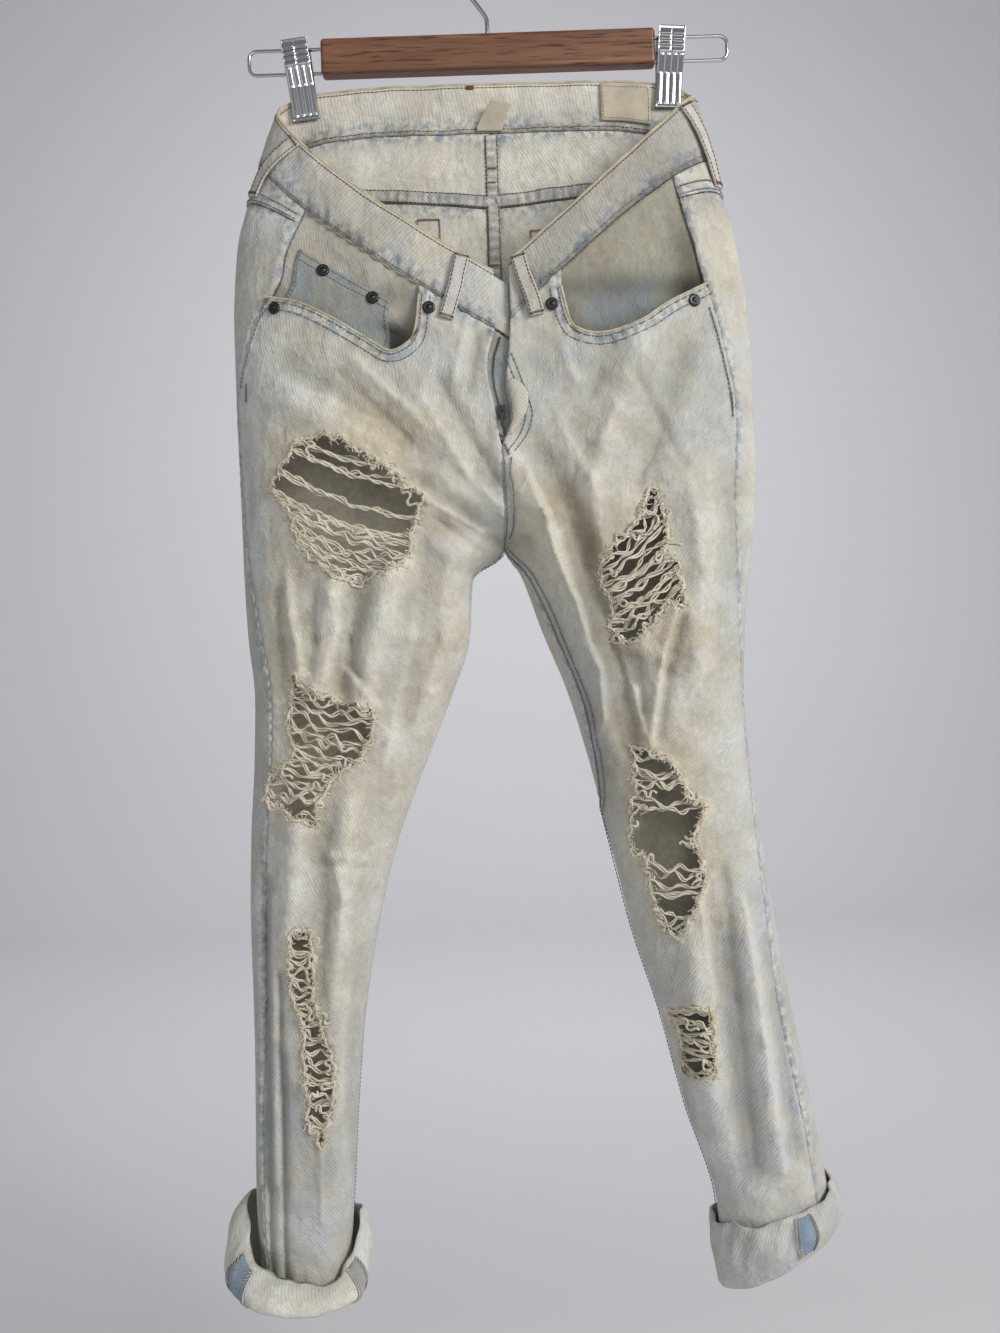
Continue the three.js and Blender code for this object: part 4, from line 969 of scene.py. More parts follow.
# Pocket facings and coin pocket
facing = {
    "gape": 4, "columns": 11, "rows": 5, "rest": 1.5, "wall": 1, "panelRows": 34, "panelColumns": 14,
    "hole": {"left": (-77, -314, 16), "right": (138, -290, 5)},  # x, z, depth
}
coin = {"rows": (1.45, 3.45), "columns": (1, 8), "raise": 1.6}


def facingPit(side, spot):
    gapX, gapZ, _ = facing["hole"][side["name"]]
    return blob(spot[..., 0], spot[..., 2], gapX, gapZ, 15, 11)


def facingPatch(side, firstRow, lastRow, firstColumn, lastColumn, raised, rows, columns):
    row = np.linspace(firstRow, lastRow, rows)[:, None]
    column = np.linspace(firstColumn, lastColumn, columns)[None, :]
    v = mix(waistSeam + 0.013, hem, row / facing["panelRows"])
    across = column / facing["columns"]
    depth = facing["gape"] * smoothStep(0, 0.3, row / facing["rows"]) * smoothStep(0, 0.2, across)
    depth = facing["rest"] + depth * (1 - smoothStep(0.75, 1, across))
    angle = frontAngle(side, v, column / facing["panelColumns"])
    spot = jeansPoint(side, v, angle)
    pit = facing["hole"][side["name"]][2] * facingPit(side, spot)
    return offsetPoint(side, v, angle, raised - depth - pit)


for side in sides:
    points = facingPatch(side, 0, facing["rows"], 0, facing["columns"], 0, 40, 56)
    x, z = points[..., 0], points[..., 2]
    opening = smoothPath(pocketOpenings[side["name"]], 3)
    toMouth = np.abs(nearestOnOutline(opening, x, z)[0])
    deep = blob(x, z, 98, -300, 44, 24) if side is right else 0.25
    # Painted shade: darker along the pocket mouth, in the pit of the pocket hole and, on the right, down the
    # far side; pale sets each side's level of painted shade and hollow how dark the pit is
    dark = 1.1 * blob(x, z, 146, -262, 14, 34) if side is right else 0
    pale, hollow = (-0.25, 0.4) if side is right else (0.15, 1.6)
    paint = {
        "seam": 0.3 * falloff(toMouth, 8),
        "blue": np.clip(0.25 + 1.3 * deep, 0, 1),
        "stain": 0.5,
        "worn": 0.75 * (1 - deep) if side is right else 0,
        "shade": pale - 0.8 * falloff(toMouth, 10) - hollow * facingPit(side, points) - dark,
    }
    name = f"pocket_facing_{side['name']}"
    cloth = facingCloth if side is right else denim
    clothSheet(name, points, side["sign"], facing["wall"], [cloth], "faded_denim", paint)

points = facingPatch(left, *coin["rows"], *coin["columns"], coin["raise"], 22, 30)
edge = np.minimum.reduce(edgeDistances(points))
paint = {"seam": 0.5 * falloff(edge, 5), "blue": 0.75, "stain": 0.4, "shade": 0.1}
clothSheet("coin_pocket", points, -1, 1, [facingCloth], "denim", paint)
coinGrid = points

# Back pockets
backPocket = {"first": 0.1, "last": 0.5, "top": 3, "foot": 6.6, "point": 0.9, "lift": 1.6}
backPocketGrids = {}
for side in sides:
    shares = np.linspace(0, 1, 34)[None, :]
    downTo = np.linspace(0, 1, 36)[:, None]
    bottom = backPocket["foot"] + backPocket["point"] * (1 - np.abs(2 * shares - 1))
    v = mix(waistSeam + 0.013, hem, mix(backPocket["top"], bottom, downTo) / facing["panelRows"])
    angle = backAngle(side, v, mix(backPocket["first"], backPocket["last"], shares))
    points = offsetPoint(side, v, angle, np.full(v.shape, backPocket["lift"]))
    edge = np.minimum.reduce(edgeDistances(points))
    paint = {"seam": falloff(edge, 6), "blue": 0.4, "stain": 0.25}
    name = f"back_pocket_{side['name']}"
    clothSheet(name, points, side["sign"], 1.2, [denim], "denim", paint)
    backPocketGrids[side["name"]] = points
print("pockets")

# Fly shield, zip tape and waistband underlap
flyPieces = {
    "fly_shield": {"rows": (1.03, 3.0), "from": -14, "to": 14, "depth": 3.1, "wall": 1.2},
    "zip_tape": {"rows": (1.03, 2.9), "from": -8, "to": 3.5, "depth": 1.5, "wall": 1.0},
    "waistband_underlap": {"rows": (0.05, 0.97), "from": -14, "to": 9, "depth": 2.7, "wall": 2.0},
}


def flyStrip(size, rows, columns, follow):
    v = np.linspace(*size["rows"], rows)[:, None]
    edge = flyOffset(left, v) if follow else 0
    start, end = angleAtX(left, v, edge + size["from"]), angleAtX(left, v, edge + size["to"])
    angle = mix(start, end, np.linspace(0, 1, columns)[None, :])
    return offsetPoint(left, v, angle, np.full(angle.shape, -size["depth"]))


for name, size in flyPieces.items():
    points = flyStrip(size, 36, 14, name == "zip_tape")
    isBand = name == "waistband_underlap"
    paint = {"seam": 0.25, "blue": 0.3 if isBand else 0.8, "stain": 0.3}
    clothSheet(name, points, -1, size["wall"], [denim if isBand else facingCloth],
               "denim" if isBand else "faded_denim", paint)

# Curled edge of the fly on the right half
flyLip = {"rows": (2.02, 2.98), "width": 13, "curl": 4.5}
v = np.linspace(*flyLip["rows"], 30)[:, None]
u = np.linspace(0, 1, 12)[None, :]
leaf = flyLip["width"] * np.sin(math.pi * np.linspace(0.04, 0.96, 30))[:, None] ** 0.6
ends = np.sin(math.pi * np.linspace(0.05, 0.95, 30))[:, None]
edge = flyOffset(right, v)
angle = angleAtX(right, v, edge + 1 + leaf * u)
raised = 1.2 + flyLip["curl"] * np.sin(math.pi * (0.15 + 0.75 * u)) * ends
# painted shade: darker at the sewn edge of the lip, lighter towards its curled outer edge
paint = {"seam": 0.3, "blue": 0.15, "stain": 0.9, "shade": 0.35 + 0.3 * u}
clothSheet("fly_lip", offsetPoint(right, v, angle, raised), -1, 1.0, [denim], "denim", paint, isNode=False)

# Belt loops
loopSize = {"width": 11, "wall": 1.6, "arch": 2.2, "stand": 0.7, "top": 0.03, "foot": 1.35}
loopPlaces = {  # side, x at the top and at the foot
    "belt_loop_front_left": (left, -24, -38),
    "belt_loop_front_right": (right, 16, 29),
    "belt_loop_side_left": (left, -147, -182),
    "belt_loop_side_right": (right, 146, 171),
    "belt_loop_back": (left, None, None),
}
loopGrids = {}
for name, (side, topX, footX) in loopPlaces.items():
    t = np.linspace(0, 1, 30)
    v = mix(loopSize["top"], loopSize["foot"], t)
    angle = -angleAtX(side, v, 0) if topX is None else angleAtX(side, v, mix(topX, footX, t))
    centre = jeansPoint(side, v, angle)
    normal = unit(outwardAt(side, v, angle))
    across = unit(np.cross(normal, np.gradient(centre, axis=0)))
    spread = np.linspace(-0.5, 0.5, 9)[None, :, None] * loopSize["width"]
    crown = 0.5 * (1 - (np.linspace(-1, 1, 9)[None, :, None]) ** 2)
    lift = loopSize["stand"] + loopSize["wall"] + loopSize["arch"] * np.sin(math.pi * t)
    lift = lift[:, None, None] + crown * 0.6
    points = centre[:, None] + across[:, None] * spread + normal[:, None] * lift
    nearest = np.argmin(np.linalg.norm(square.reshape(-1, 1, 3) - centre[None], axis=-1), axis=0)
    points = points + bandMoves[nearest][:, None]
    paint = {"seam": 0.35, "blue": 0.35, "stain": 0.4}
    clothSheet(name, points, -1, loopSize["wall"], [denim], "denim", paint)
    loopGrids[name] = points
print("fly and belt loops")

# Cuffs
cuffSizes = {
    "left": {"flare": 13, "outerFlare": 5, "frontFlare": 11},
    "right": {"flare": 1.5, "outerFlare": 1, "frontFlare": 2},
}
cuffRims = {  # angle, row of the rim
    "left": [[0, 13.95], [0.35, 14.2], [0.7, 14.46], [1.57, 14.62], [2.4, 14.62], [2.8, 14.3],
             [3.14, 14.02], [4.7, 13.98]],
    "right": [[0, 13.9], [0.8, 14.02], [1.57, 14.14], [2.4, 14.16], [3.14, 14.22], [4.7, 14.0]],
}
cuffShape = {"air": 2, "wall": 2.2, "sections": 150, "steps": 16}
cuffPatches = {
    "left": [{"angle": 0.72, "half": 0.2, "blue": 1.0}, {"angle": 2.6, "half": 0.13, "blue": 0.35}],
    "right": [{"angle": 1.24, "half": 0.17, "blue": 0.6}],
}


def cuffWall(side, angle, t, out):
    size = cuffSizes[side["name"]]
    side = dict(side, folds=0)  # the turn-up stands clear of the leg's creases
    facingFront = np.maximum(np.sin(angle), 0)
    rim = np.interp(angle, *np.array(cuffRims[side["name"]]).T, period=2 * math.pi) + 0.02 * np.sin(7 * angle)
    flare = size["flare"] + size["outerFlare"] * np.cos(angle) + size["frontFlare"] * facingFront
    roll = np.sin(math.pi * np.clip(t / 1.06, 0, 1)) ** 0.7
    wave = 1.5 * np.sin(5 * angle + 4 * t) + 1.1 * np.sin(9 * angle - 5 * t)
    wave = wave + 0.7 * np.sin(17 * angle + 6 * t)
    bump = 1.5 * np.sin(math.pi * t) * (1 + 0.5 * np.sin(4 * angle + 1))
    stand = cuffShape["air"] + flare * roll + out + wave * t ** 0.7 + bump
    return offsetPoint(side, mix(hem, rim, t), angle, stand)


for side in sides:
    angle = np.linspace(0, 2 * math.pi, cuffShape["sections"], endpoint=False)
    smooth = dict(side, folds=0)
    end = jeansPoint(smooth, hem, angle)
    normal = outwardAt(smooth, np.full(angle.shape, hem - 0.02), angle)
    downward = unit(end - jeansPoint(smooth, hem - 0.05, angle))
    sway = 1.2 * np.sin(4 * angle + 1) + 0.8 * np.sin(9 * angle)

    def foldAt(drop, out):
        return end + downward * (drop + sway * 0.35 * (drop > 1))[:, None] + normal * out

    steps = np.linspace(0.08, 1, cuffShape["steps"])
    fold = [foldAt(0.3, -1.2), foldAt(0.3, 0), foldAt(2.2, 0.1), foldAt(3, 1), foldAt(1.6, cuffShape["air"])]
    ring = fold + [cuffWall(side, angle, t, 0) for t in steps]
    ring += [cuffWall(side, angle, 1.02, cuffShape["wall"] * 0.5)]
    ring += [cuffWall(side, angle, t, cuffShape["wall"]) for t in steps[::-1]]
    ring += [foldAt(2.4, 4.2), foldAt(4.6, 3), foldAt(5.4, 1), foldAt(4.6, -0.6), foldAt(3, -1.2)]
    points = np.stack(ring, 1)
    around, count = points.shape[:2]
    i = np.arange(around)[:, None]
    j = np.arange(count)[None, :]
    after, nextJ = (i + 1) % around, (j + 1) % count
    quads = [i * count + j, after * count + j, after * count + nextJ, i * count + nextJ]
    quads = np.stack(quads, -1).reshape(-1, 4)
    if side is left:
        quads = quads[:, ::-1]
    along = np.linspace(0, 1, count)[None, :]
    values = {
        "seam": 0.5 * falloff(along - 0.5, 0.05),
        "blue": 0.35 if side is left else 1.0,
        "stain": 0.1,
        "worn": 0,
        # painted light and shade: the left cuff lighter than the right, with waves of painted shade round each
        # cuff
        "shade": (1.0 if side is left else 0.7) + 0.2 * np.sin(5 * angle + 1)[:, None],
    }
    values = {key: np.broadcast_to(value, (around, count)).ravel() for key, value in values.items()}
    upward = np.broadcast_to(pathLength(points, 1).mean(axis=0), (around, count))
    uv = np.stack([pathLength(points, 0).ravel(), upward.ravel()], -1)
    name = f"cuff_{side['name']}"
    piece = meshObject(name, points.reshape(-1, 3), quads, [denim], values, uv)
    place(piece, "denim", name)
    for index, patch in enumerate(cuffPatches[side["name"]]):
        t = np.linspace(0.06, 0.97, 22)[:, None]
        u = np.linspace(-1, 1, 13)[None, :]
        lens = patch["half"] * (0.75 + 0.25 * np.sin(math.pi * t))
        dome = 0.5 + 0.9 * (1 - u * u) * np.sin(math.pi * t)
        grid = cuffWall(side, patch["angle"] + lens * u, t, cuffShape["wall"] + dome)
        paint = {"seam": 0.3 * patch["blue"], "blue": patch["blue"], "shade": 0.4}
        cloth = cuffSeamCloth if patch["blue"] > 0.5 else facingCloth
        name = f"cuff_seam_{side['name']}_{index}"
        clothSheet(name, grid, -side["sign"], 0.6, [cloth], "faded_denim", paint, isNode=False)
        patch["grid"] = grid
print("cuffs")

# Felled seams on the inside of the back
felled = {"half": 5.5, "depth": 1.0, "height": 1.0, "above": 0.08}
insideBoxes = {"left": [[-60, -203, 17, 20]], "right": [[29, -214, 18, 16]]}  # x, z, width, height
yokeShares = np.linspace(0.005, 0.99, 160)
yokeFoot = mix(yokeRows["back"], yokeRows["side"], yokeShares)
felledGrids = []


def insideStrip(name, side, v, angle):
    centre, normal = jeansPoint(side, v, angle), outwardAt(side, v, angle)
    across = unit(np.cross(normal, np.gradient(centre, axis=0)))
    u = np.linspace(-1, 1, 11)
    lengths = pathLength(centre, 0)
    rise = 1 + 0.3 * np.sin(lengths / 1.4 + np.sin(lengths / 9))[:, None]
    rise = felled["height"] * (1 - u[None] ** 6) * rise
    grid = centre[:, None] + across[:, None] * (u * felled["half"])[None, :, None]
    grid = grid - normal[:, None] * (felled["depth"] + rise)[..., None]
    # Painted shade: darker at the folded edges of the seam and in a ladder of pucker hollows along it
    ladder = 0.7 * np.sin(lengths / 1.1 + np.sin(lengths / 9))[:, None] * (1 - u[None] ** 2)
    shade = 0.1 - 1.3 * u[None] ** 4 + ladder
    paint = {"seam": 0.6, "blue": 1.0, "shade": shade}
    clothSheet(name, grid, 1, 0.5, [denimInside], "denim", paint, isNode=False)
    felledGrids.append(grid)


for side in sides:
    v = yokeFoot - felled["above"]
    insideStrip(f"felled_yoke_{side['name']}", side, v, backAngle(side, v, yokeShares))
centreRows = np.linspace(1.03, 4.4, 120)
insideStrip("felled_centre_back", left, centreRows, -angleAtX(left, centreRows, 0))

# Label and loop tag inside the back of the waistband
insidePatches = {
    "label": {"side": right, "rows": (0.05, 0.84), "from": 87, "to": 126, "wall": 0.8},
    "loop_tag": {"side": left, "rows": (0.58, 0.98), "from": 9, "to": -11, "wall": 1.4,
                 "curl": (13.0, -8.0, 5.0)},
}
insideDepth = 2.7
insideGrids = {}
for name, size in insidePatches.items():
    v = np.linspace(*size["rows"], 16)[:, None]
    start, end = angleAtX(size["side"], v, size["from"]), angleAtX(size["side"], v, size["to"])
    angle = -mix(start, end, np.linspace(0, 1, 24)[None, :])
    points = offsetPoint(size["side"], v, angle, np.full(angle.shape, -insideDepth))
    if "curl" in size:
        curl = np.linspace(1, 0, 16)[:, None] ** 1.6 * np.linspace(0.6, 1, 24)[None, :]
        points = points + curl[..., None] * np.array(size["curl"])
    clothSheet(name, points, size["side"]["sign"], size["wall"], [tapeCloth], "cotton_tape", {})
    insideGrids[name] = points


# Many small things: tubes for threads, short prisms for stitches
def tubes(name, paths, radii, count, materials, slot):
    points, faces, start = [], [], 0
    turns = np.linspace(0, 2 * math.pi, count, endpoint=False)
    for path, radius in zip(paths, radii):
        path = np.asarray(path, float)
        ahead = unit(np.gradient(path, axis=0))
        helper = np.where(np.abs(ahead[:, 1:2]) < 0.9, [[0.0, 1.0, 0.0]], [[1.0, 0.0, 0.0]])
        first = unit(np.cross(ahead, helper))
        second = np.cross(ahead, first)
        size = np.broadcast_to(radius, len(path))[:, None, None]
        ring = np.cos(turns)[None, :, None] * first[:, None] + np.sin(turns)[None, :, None] * second[:, None]
        points.append((path[:, None] + ring * size).reshape(-1, 3))
        i = np.arange(len(path) - 1)[:, None] * count
        j = np.arange(count)[None, :]
        k = (j + 1) % count
        faces.append((np.stack([i + j, i + k, i + count + k, i + count + j], -1) + start).reshape(-1, 4))
        start += len(path) * count
    piece = meshObject(name, np.concatenate(points), np.concatenate(faces), materials)
    return place(piece, slot)


stitches = {"slate": [], "rust": [], "blue": [], "cream": []}
# The stitches are thicker than real ones, so that they show
stitchSize = {"pitch": 3.2, "length": 2.9, "half": 0.5, "height": 0.55, "crown": 0.22}


# A row of stitches along a path
def sew(colour, path, normals, gap=0.0):
    lengths = pathLength(path, 0)
    count = int(lengths[-1] / stitchSize["pitch"])
    if count < 1:
        return
    middle = (np.arange(count) + 0.5) * lengths[-1] / count
    half = stitchSize["length"] / 2
    a, b = sampleAt(path, lengths, middle - half), sampleAt(path, lengths, middle + half)
    up = unit(sampleAt(normals, lengths, middle))
    across = unit(np.cross(b - a, up)) * stitchSize["half"]
    lift, low = up * (gap + stitchSize["height"]), up * (gap - 0.25)
    crown = (b - a) * stitchSize["crown"]
    foot = [a - across + low, a + across + low, b + across + low, b - across + low]
    stitches[colour].append(np.stack(foot + [a + crown + lift, b - crown + lift], 1))


def sewSurface(colour, side, v, angle, lift=1.0):
    sew(colour, jeansPoint(side, v, angle), outwardAt(side, v, angle), lift)


# Lays a path of x, z on the nearest points of a panel
def xzToSurface(side, path, grids=frontGrids):
    tree = surfaceTrees[side["name"], grids is frontGrids]
    grid, normals = grids[side["name"]]
    flat, flatNormals = grid.reshape(-1, 3), normals.reshape(-1, 3)
    out, outNormals = [], []
    for x, z in path:
        found = tree.find_n((x, 0, z), 4)
        weights = np.array([1 / (d + 0.3) for _, _, d in found])
        index = [i for _, i, _ in found]
        weights /= weights.sum()
        out.append((x, float(weights @ flat[index, 1]), z))
        outNormals.append(weights @ flatNormals[index])
    return np.array(out), unit(np.array(outNormals))


surfaceTrees = {}
for side in sides:
    for grids in (frontGrids, backGrids):
        grid = grids[side["name"]][0].reshape(-1, 3)
        tree = kdtree.KDTree(len(grid))
        for index, (x, _, z) in enumerate(grid):
            tree.insert((x, 0, z), index)
        tree.balance()
        surfaceTrees[side["name"], grids is frontGrids] = tree

# Threads across the rips
threadSize = {
    "bundle": 0.82, "single": 0.78, "curl": 0.72, "edge": 0.72, "fray": 0.3,  # radii, thicker than real to show
    "least": 4, "tuck": 2.5, "looseLength": (10, 24), "frays": 4, "frayLength": (2, 6.5),
}


def crossing(outline, origin, direction):
    hits = []
    normal = np.array([-direction[1], direction[0]])
    for a, b in zip(outline, np.roll(outline, -1, axis=0)):
        da, db = (a - origin) @ normal, (b - origin) @ normal
        if da * db < 0:
            hits.append((a + (b - a) * da / (da - db) - origin) @ direction)
    return sorted(hits)


def wander(lengths, size):
    total = np.zeros_like(lengths)
    for _ in range(3):
        share = rng.uniform(0.3, 1)
        total += share * np.sin(2 * math.pi * lengths / rng.uniform(11, 38) + rng.uniform(0, 6.3))
    return total * size / 1.6


def threadPath(side, start, end, wave, sag, depth):
    length = np.linalg.norm(end - start)
    s = np.linspace(0, 1, max(int(length / 2), 7))
    direction = (end - start) / max(length, 1e-6)
    across = np.array([-direction[1], direction[0]])
    middle = np.sin(math.pi * s) ** 0.6
    flat = start + (end - start) * s[:, None] + across * (wander(s * length, wave) * middle)[:, None]
    flat[:, 1] -= sag * np.sin(math.pi * s)
    path, _ = xzToSurface(side, flat)
    path[:, 1] += (depth + wander(s * length, wave * 0.6)) * middle
    return path


def strands(path, count, spread, pitch):
    ahead = unit(np.gradient(path, axis=0))
    first = unit(np.cross(ahead, [0.0, 1.0, 0.0]))
    second = np.cross(ahead, first)
    lengths = pathLength(path, 0)
    out = []
    for k in range(count):
        turn = (2 * math.pi * (k / count + lengths / pitch))[:, None]
        fade = 1 + 0.35 * np.sin(lengths / 7 + 2 * k)[:, None]
        out.append(path + (np.cos(turn) * first + np.sin(turn) * second * 0.6) * spread * fade)
    return out


for side in sides:
    paths, radii = [], []

    def addRope(path, count, spread, radius, pitch=16):
        for strand in strands(path, count, spread, pitch):
            paths.append(strand)
            radii.append(radius * rng.uniform(0.85, 1.15))

    for rip in rips[side["name"]]:
        edge = rip["edge"]
        middle = edge.mean(axis=0)
        direction = unit(np.array([1, -rip["slope"]]))
        down = np.array([direction[1], -direction[0]])
        reach = edge @ down
        top, foot = reach.min(), reach.max()
        lines = [(t, rip["strands"], threadSize["bundle"], 1.7) for t in rip["bundles"]]
        tangle = np.linspace(rip["from"] + 0.02, 0.97, rip["tangle"])
        lines += [(t, 2, threadSize["single"], rip["wave"]) for t in tangle]
        for t, count, radius, wave in lines:  # from edge to edge
            origin = down * (mix(top, foot, t) + rng.normal(0, 0.8))
            hits = crossing(edge, origin, direction)
            for begin, finish in zip(hits[::2], hits[1::2]):
                if finish - begin < threadSize["least"]:
                    continue
                start = origin + direction * (begin - threadSize["tuck"])
                end = origin + direction * (finish + threadSize["tuck"])
                end = end + down * rng.normal(0, 0.8 if count > 2 else 4)
                if "clear" in rip and rip["clear"][1] < (start[1] + end[1]) / 2 < rip["clear"][0]:
                    continue
                sag = rng.uniform(0.02, 0.1) * (finish - begin)
                path = threadPath(side, start, end, wave * rng.uniform(0.6, 1.3), sag, rng.uniform(0.4, 3.5))
                addRope(path, count, 0.28 * count ** 0.5 + radius * 0.7, radius, rng.uniform(16, 38))
        for index in rng.choice(len(edge), rip["loose"]):  # loose curls
            start = edge[index]
            s = np.linspace(0, 1, 16)
            toMiddle = math.atan2(middle[1] - start[1], middle[0] - start[0])
            heading = toMiddle + rng.normal(0, 0.7) + rng.normal(0, 2.2) * s
            heading = heading + 1.3 * np.sin(2 * math.pi * s * rng.uniform(0.8, 1.8))
            step = rng.uniform(*threadSize["looseLength"]) / 15
            flat = start + np.cumsum(np.stack([np.cos(heading), np.sin(heading)], -1) * step, axis=0)
            flat = np.clip(flat, edge.min(axis=0) - 2, edge.max(axis=0) + 4)
            path, _ = xzToSurface(side, flat)
            path[:, 1] += 0.2 - 2.2 * np.sin(math.pi * s) * rng.uniform(-0.6, 1)
            addRope(path, 2, 0.5, threadSize["curl"])
        loop = np.vstack([edge, edge])
        begin = 0
        while begin < len(edge):  # rolled edge
            count = int(rng.integers(4, 9))
            run = smoothPath(loop[begin:begin + count] + rng.normal(0, 0.5, (count, 2)), 2)
            path, _ = xzToSurface(side, run)
            path[:, 1] -= 0.7 + wander(np.arange(len(run)) * 2.0, 0.5)
            addRope(path, 2, 0.6, threadSize["edge"], 12)
            begin += count - 1
        for a, b in zip(edge, np.roll(edge, -1, axis=0)):  # short fray
            for _ in range(threadSize["frays"]):
                start = mix(a, b, rng.uniform())
                heading = math.atan2(middle[1] - start[1], middle[0] - start[0]) + rng.normal(0, 0.9)
                length, bend = rng.uniform(*threadSize["frayLength"]), rng.normal(0, 0.9)
                s = np.linspace(0, 1, 5)
                turn = heading + bend * s
                flat = start + np.stack([np.cos(turn), np.sin(turn)], -1) * (length * s - 1.2)[:, None]
                path, _ = xzToSurface(side, flat)
                path[:, 1] -= 0.5 + rng.uniform(0, 2.2) * s
                paths.append(path)
                radii.append(threadSize["fray"] * rng.uniform(0.8, 1.3))
    tubes(f"threads_{side['name']}", paths, radii, 5, [yarnCloth], "denim")
print("threads")

# Sewing lines
overlock, tacks = [], []


def zigzagTack(path, normals, width):
    lengths = pathLength(path, 0)
    count = max(int(lengths[-1] / 0.8), 2)
    where = np.linspace(0, lengths[-1], count)
    centre, up = sampleAt(path, lengths, where), unit(sampleAt(normals, lengths, where))
    across = unit(np.cross(np.gradient(centre, axis=0), up))
    swing = np.where(np.arange(count) % 2 == 0, width, -width)[:, None]
    tacks.append(centre + across * swing + up * 0.5)


seamLines = [  # colour, edge, sides, first and last row, points, offsets, lift
    ("slate", sideSeamAngle, (left,), (2.6, 3.75), 120, (3.5,), 1.6),
    ("slate", sideSeamAngle, (right,), (2.6, 4.05), 120, (3.5,), 1.6),
    ("blue", frontEdgeAngle, sides, (5.1, 14.8), 420, (-2.2, -8), 1.2),
    ("slate", frontEdgeAngle, (right,), (3.4, 4.9), 60, (-2.2, -8), 1.2),
    ("slate", backEdgeAngle, sides, (2.0, 4.9), 140, (2.5, 8.5), 1.3),
]
for side in sides:
    for colour, edgeAngle, sewnSides, rows, count, offsets, lift in seamLines:
        v = np.linspace(*rows, count)
        for offset in offsets if side in sewnSides else ():
            sewSurface(colour, side, v, nudged(side, v, edgeAngle(side, v), offset), lift)
    for drop in (-0.03, -0.13):
        v = yokeFoot + drop
        sewSurface("slate", side, v, backAngle(side, v, yokeShares), 1.3)
    for x0, z0, wide, tall in insideBoxes[side["name"]]:
        corners = [[x0, z0 - tall], [x0, z0], [x0 + wide, z0], [x0 + wide, z0 - tall]]
        box = np.concatenate([np.linspace(a, b, 9) for a, b in zip(corners, corners[1:])])
        path, normals = xzToSurface(side, box, backGrids)
        for run in (slice(0, 9), slice(9, 18), slice(18, 27)):
            zigzagTack(path[run] - normals[run] * 1.6, -normals[run], 0.7)
    opening = smoothPath(pocketOpenings[side["name"]], 2.5)
    step = unit(np.gradient(opening, axis=0))
    outside = np.stack([-step[:, 1], step[:, 0]], -1) * side["sign"]
    for offset in (2.6, 8.2):
        path, normals = xzToSurface(side, opening + outside * offset)
        sew("slate", path, normals, 0.25)
    grid = backPocketGrids[side["name"]]
    normals = gridNormals(grid, side["sign"])
    for inset in (1, 4):
        runs = [np.s_[inset:-inset, inset], np.s_[-1 - inset, inset:-inset]]
        runs.append(np.s_[-inset - 1:inset:-1, -1 - inset])
        rim, rimNormals = (np.concatenate([values[run] for run in runs]) for values in (grid, normals))
        sew("slate", rim, rimNormals, 0.1)
    for inset in (1, 6):
        sew("slate", grid[inset], normals[inset], 0.1)
    for patch in cuffPatches[side["name"]]:
        grid = patch["grid"]
        normals = gridNormals(grid, -side["sign"])
        for column, back in ((0, 2), (12, 10)):
            rows = np.arange(len(grid) * 2) // 2
            zigzag = np.where((np.arange(len(rows)) % 2 == 0)[:, None], grid[rows, column], grid[rows, back])
            overlock.append(zigzag + normals[rows, column] * 0.9)
            overlock.append(grid[:, column] + normals[:, column] * 0.8)

for row in (16, 22, 54):
    zigzagTack(felledGrids[2][row, 2:9], gridNormals(felledGrids[2], 1)[row, 2:9], 0.8)
for grid in felledGrids:
    normals = gridNormals(grid, 1)
    for column in (1, 9):
        sew("rust", grid[:, column], normals[:, column], 0.05)
grid, normals = bandGrid
for row, colour in ((1, "rust"), (14, "slate")):
    sew(colour, grid[row], normals[row], 0.1)
    sew("rust", grid[row] - normals[row] * bandSize["wall"], -normals[row], 0.1)
# Bar tack across the top of the band
held = np.flatnonzero((grid[1, :, 0] > -22) & (grid[1, :, 0] < -9) & (grid[1, :, 1] > -8))
lining = grid - normals * (bandSize["wall"] + 0.3)
for t in (0.5, 0.75, 1.0, 1.25, 1.5):
    tacks.append(mix(lining[0], lining[1], t)[held])
for grid in loopGrids.values():
    normals = gridNormals(grid, -1)
    for column in (1, 7):
        sew("rust", grid[:, column], normals[:, column], 0.1)
    for row in (1, -2):
        zigzagTack(grid[row], normals[row], 0.8)
labelGrid = insideGrids["label"]
labelNormals = -gridNormals(labelGrid, 1)
for run in (np.s_[1, 1:-1], np.s_[-2, 1:-1], np.s_[1:-1, 1], np.s_[1:-1, -2]):
    sew("cream", labelGrid[run], labelNormals[run], 0.9)
normals = gridNormals(coinGrid, -1)
for row in (1, 4):
    sew("slate", coinGrid[row], normals[row], 0.1)
for column in (1, -2):
    sew("slate", coinGrid[:, column], normals[:, column], 0.1)
flyCurve = smoothPath([[9, -330], [19, -358], [23, -374], [19, -388], [9, -402]], 2)
for offset in (0, 5):
    path, normals = xzToSurface(right, flyCurve - [offset, 0])
    sew("slate", path, normals, 0.25)

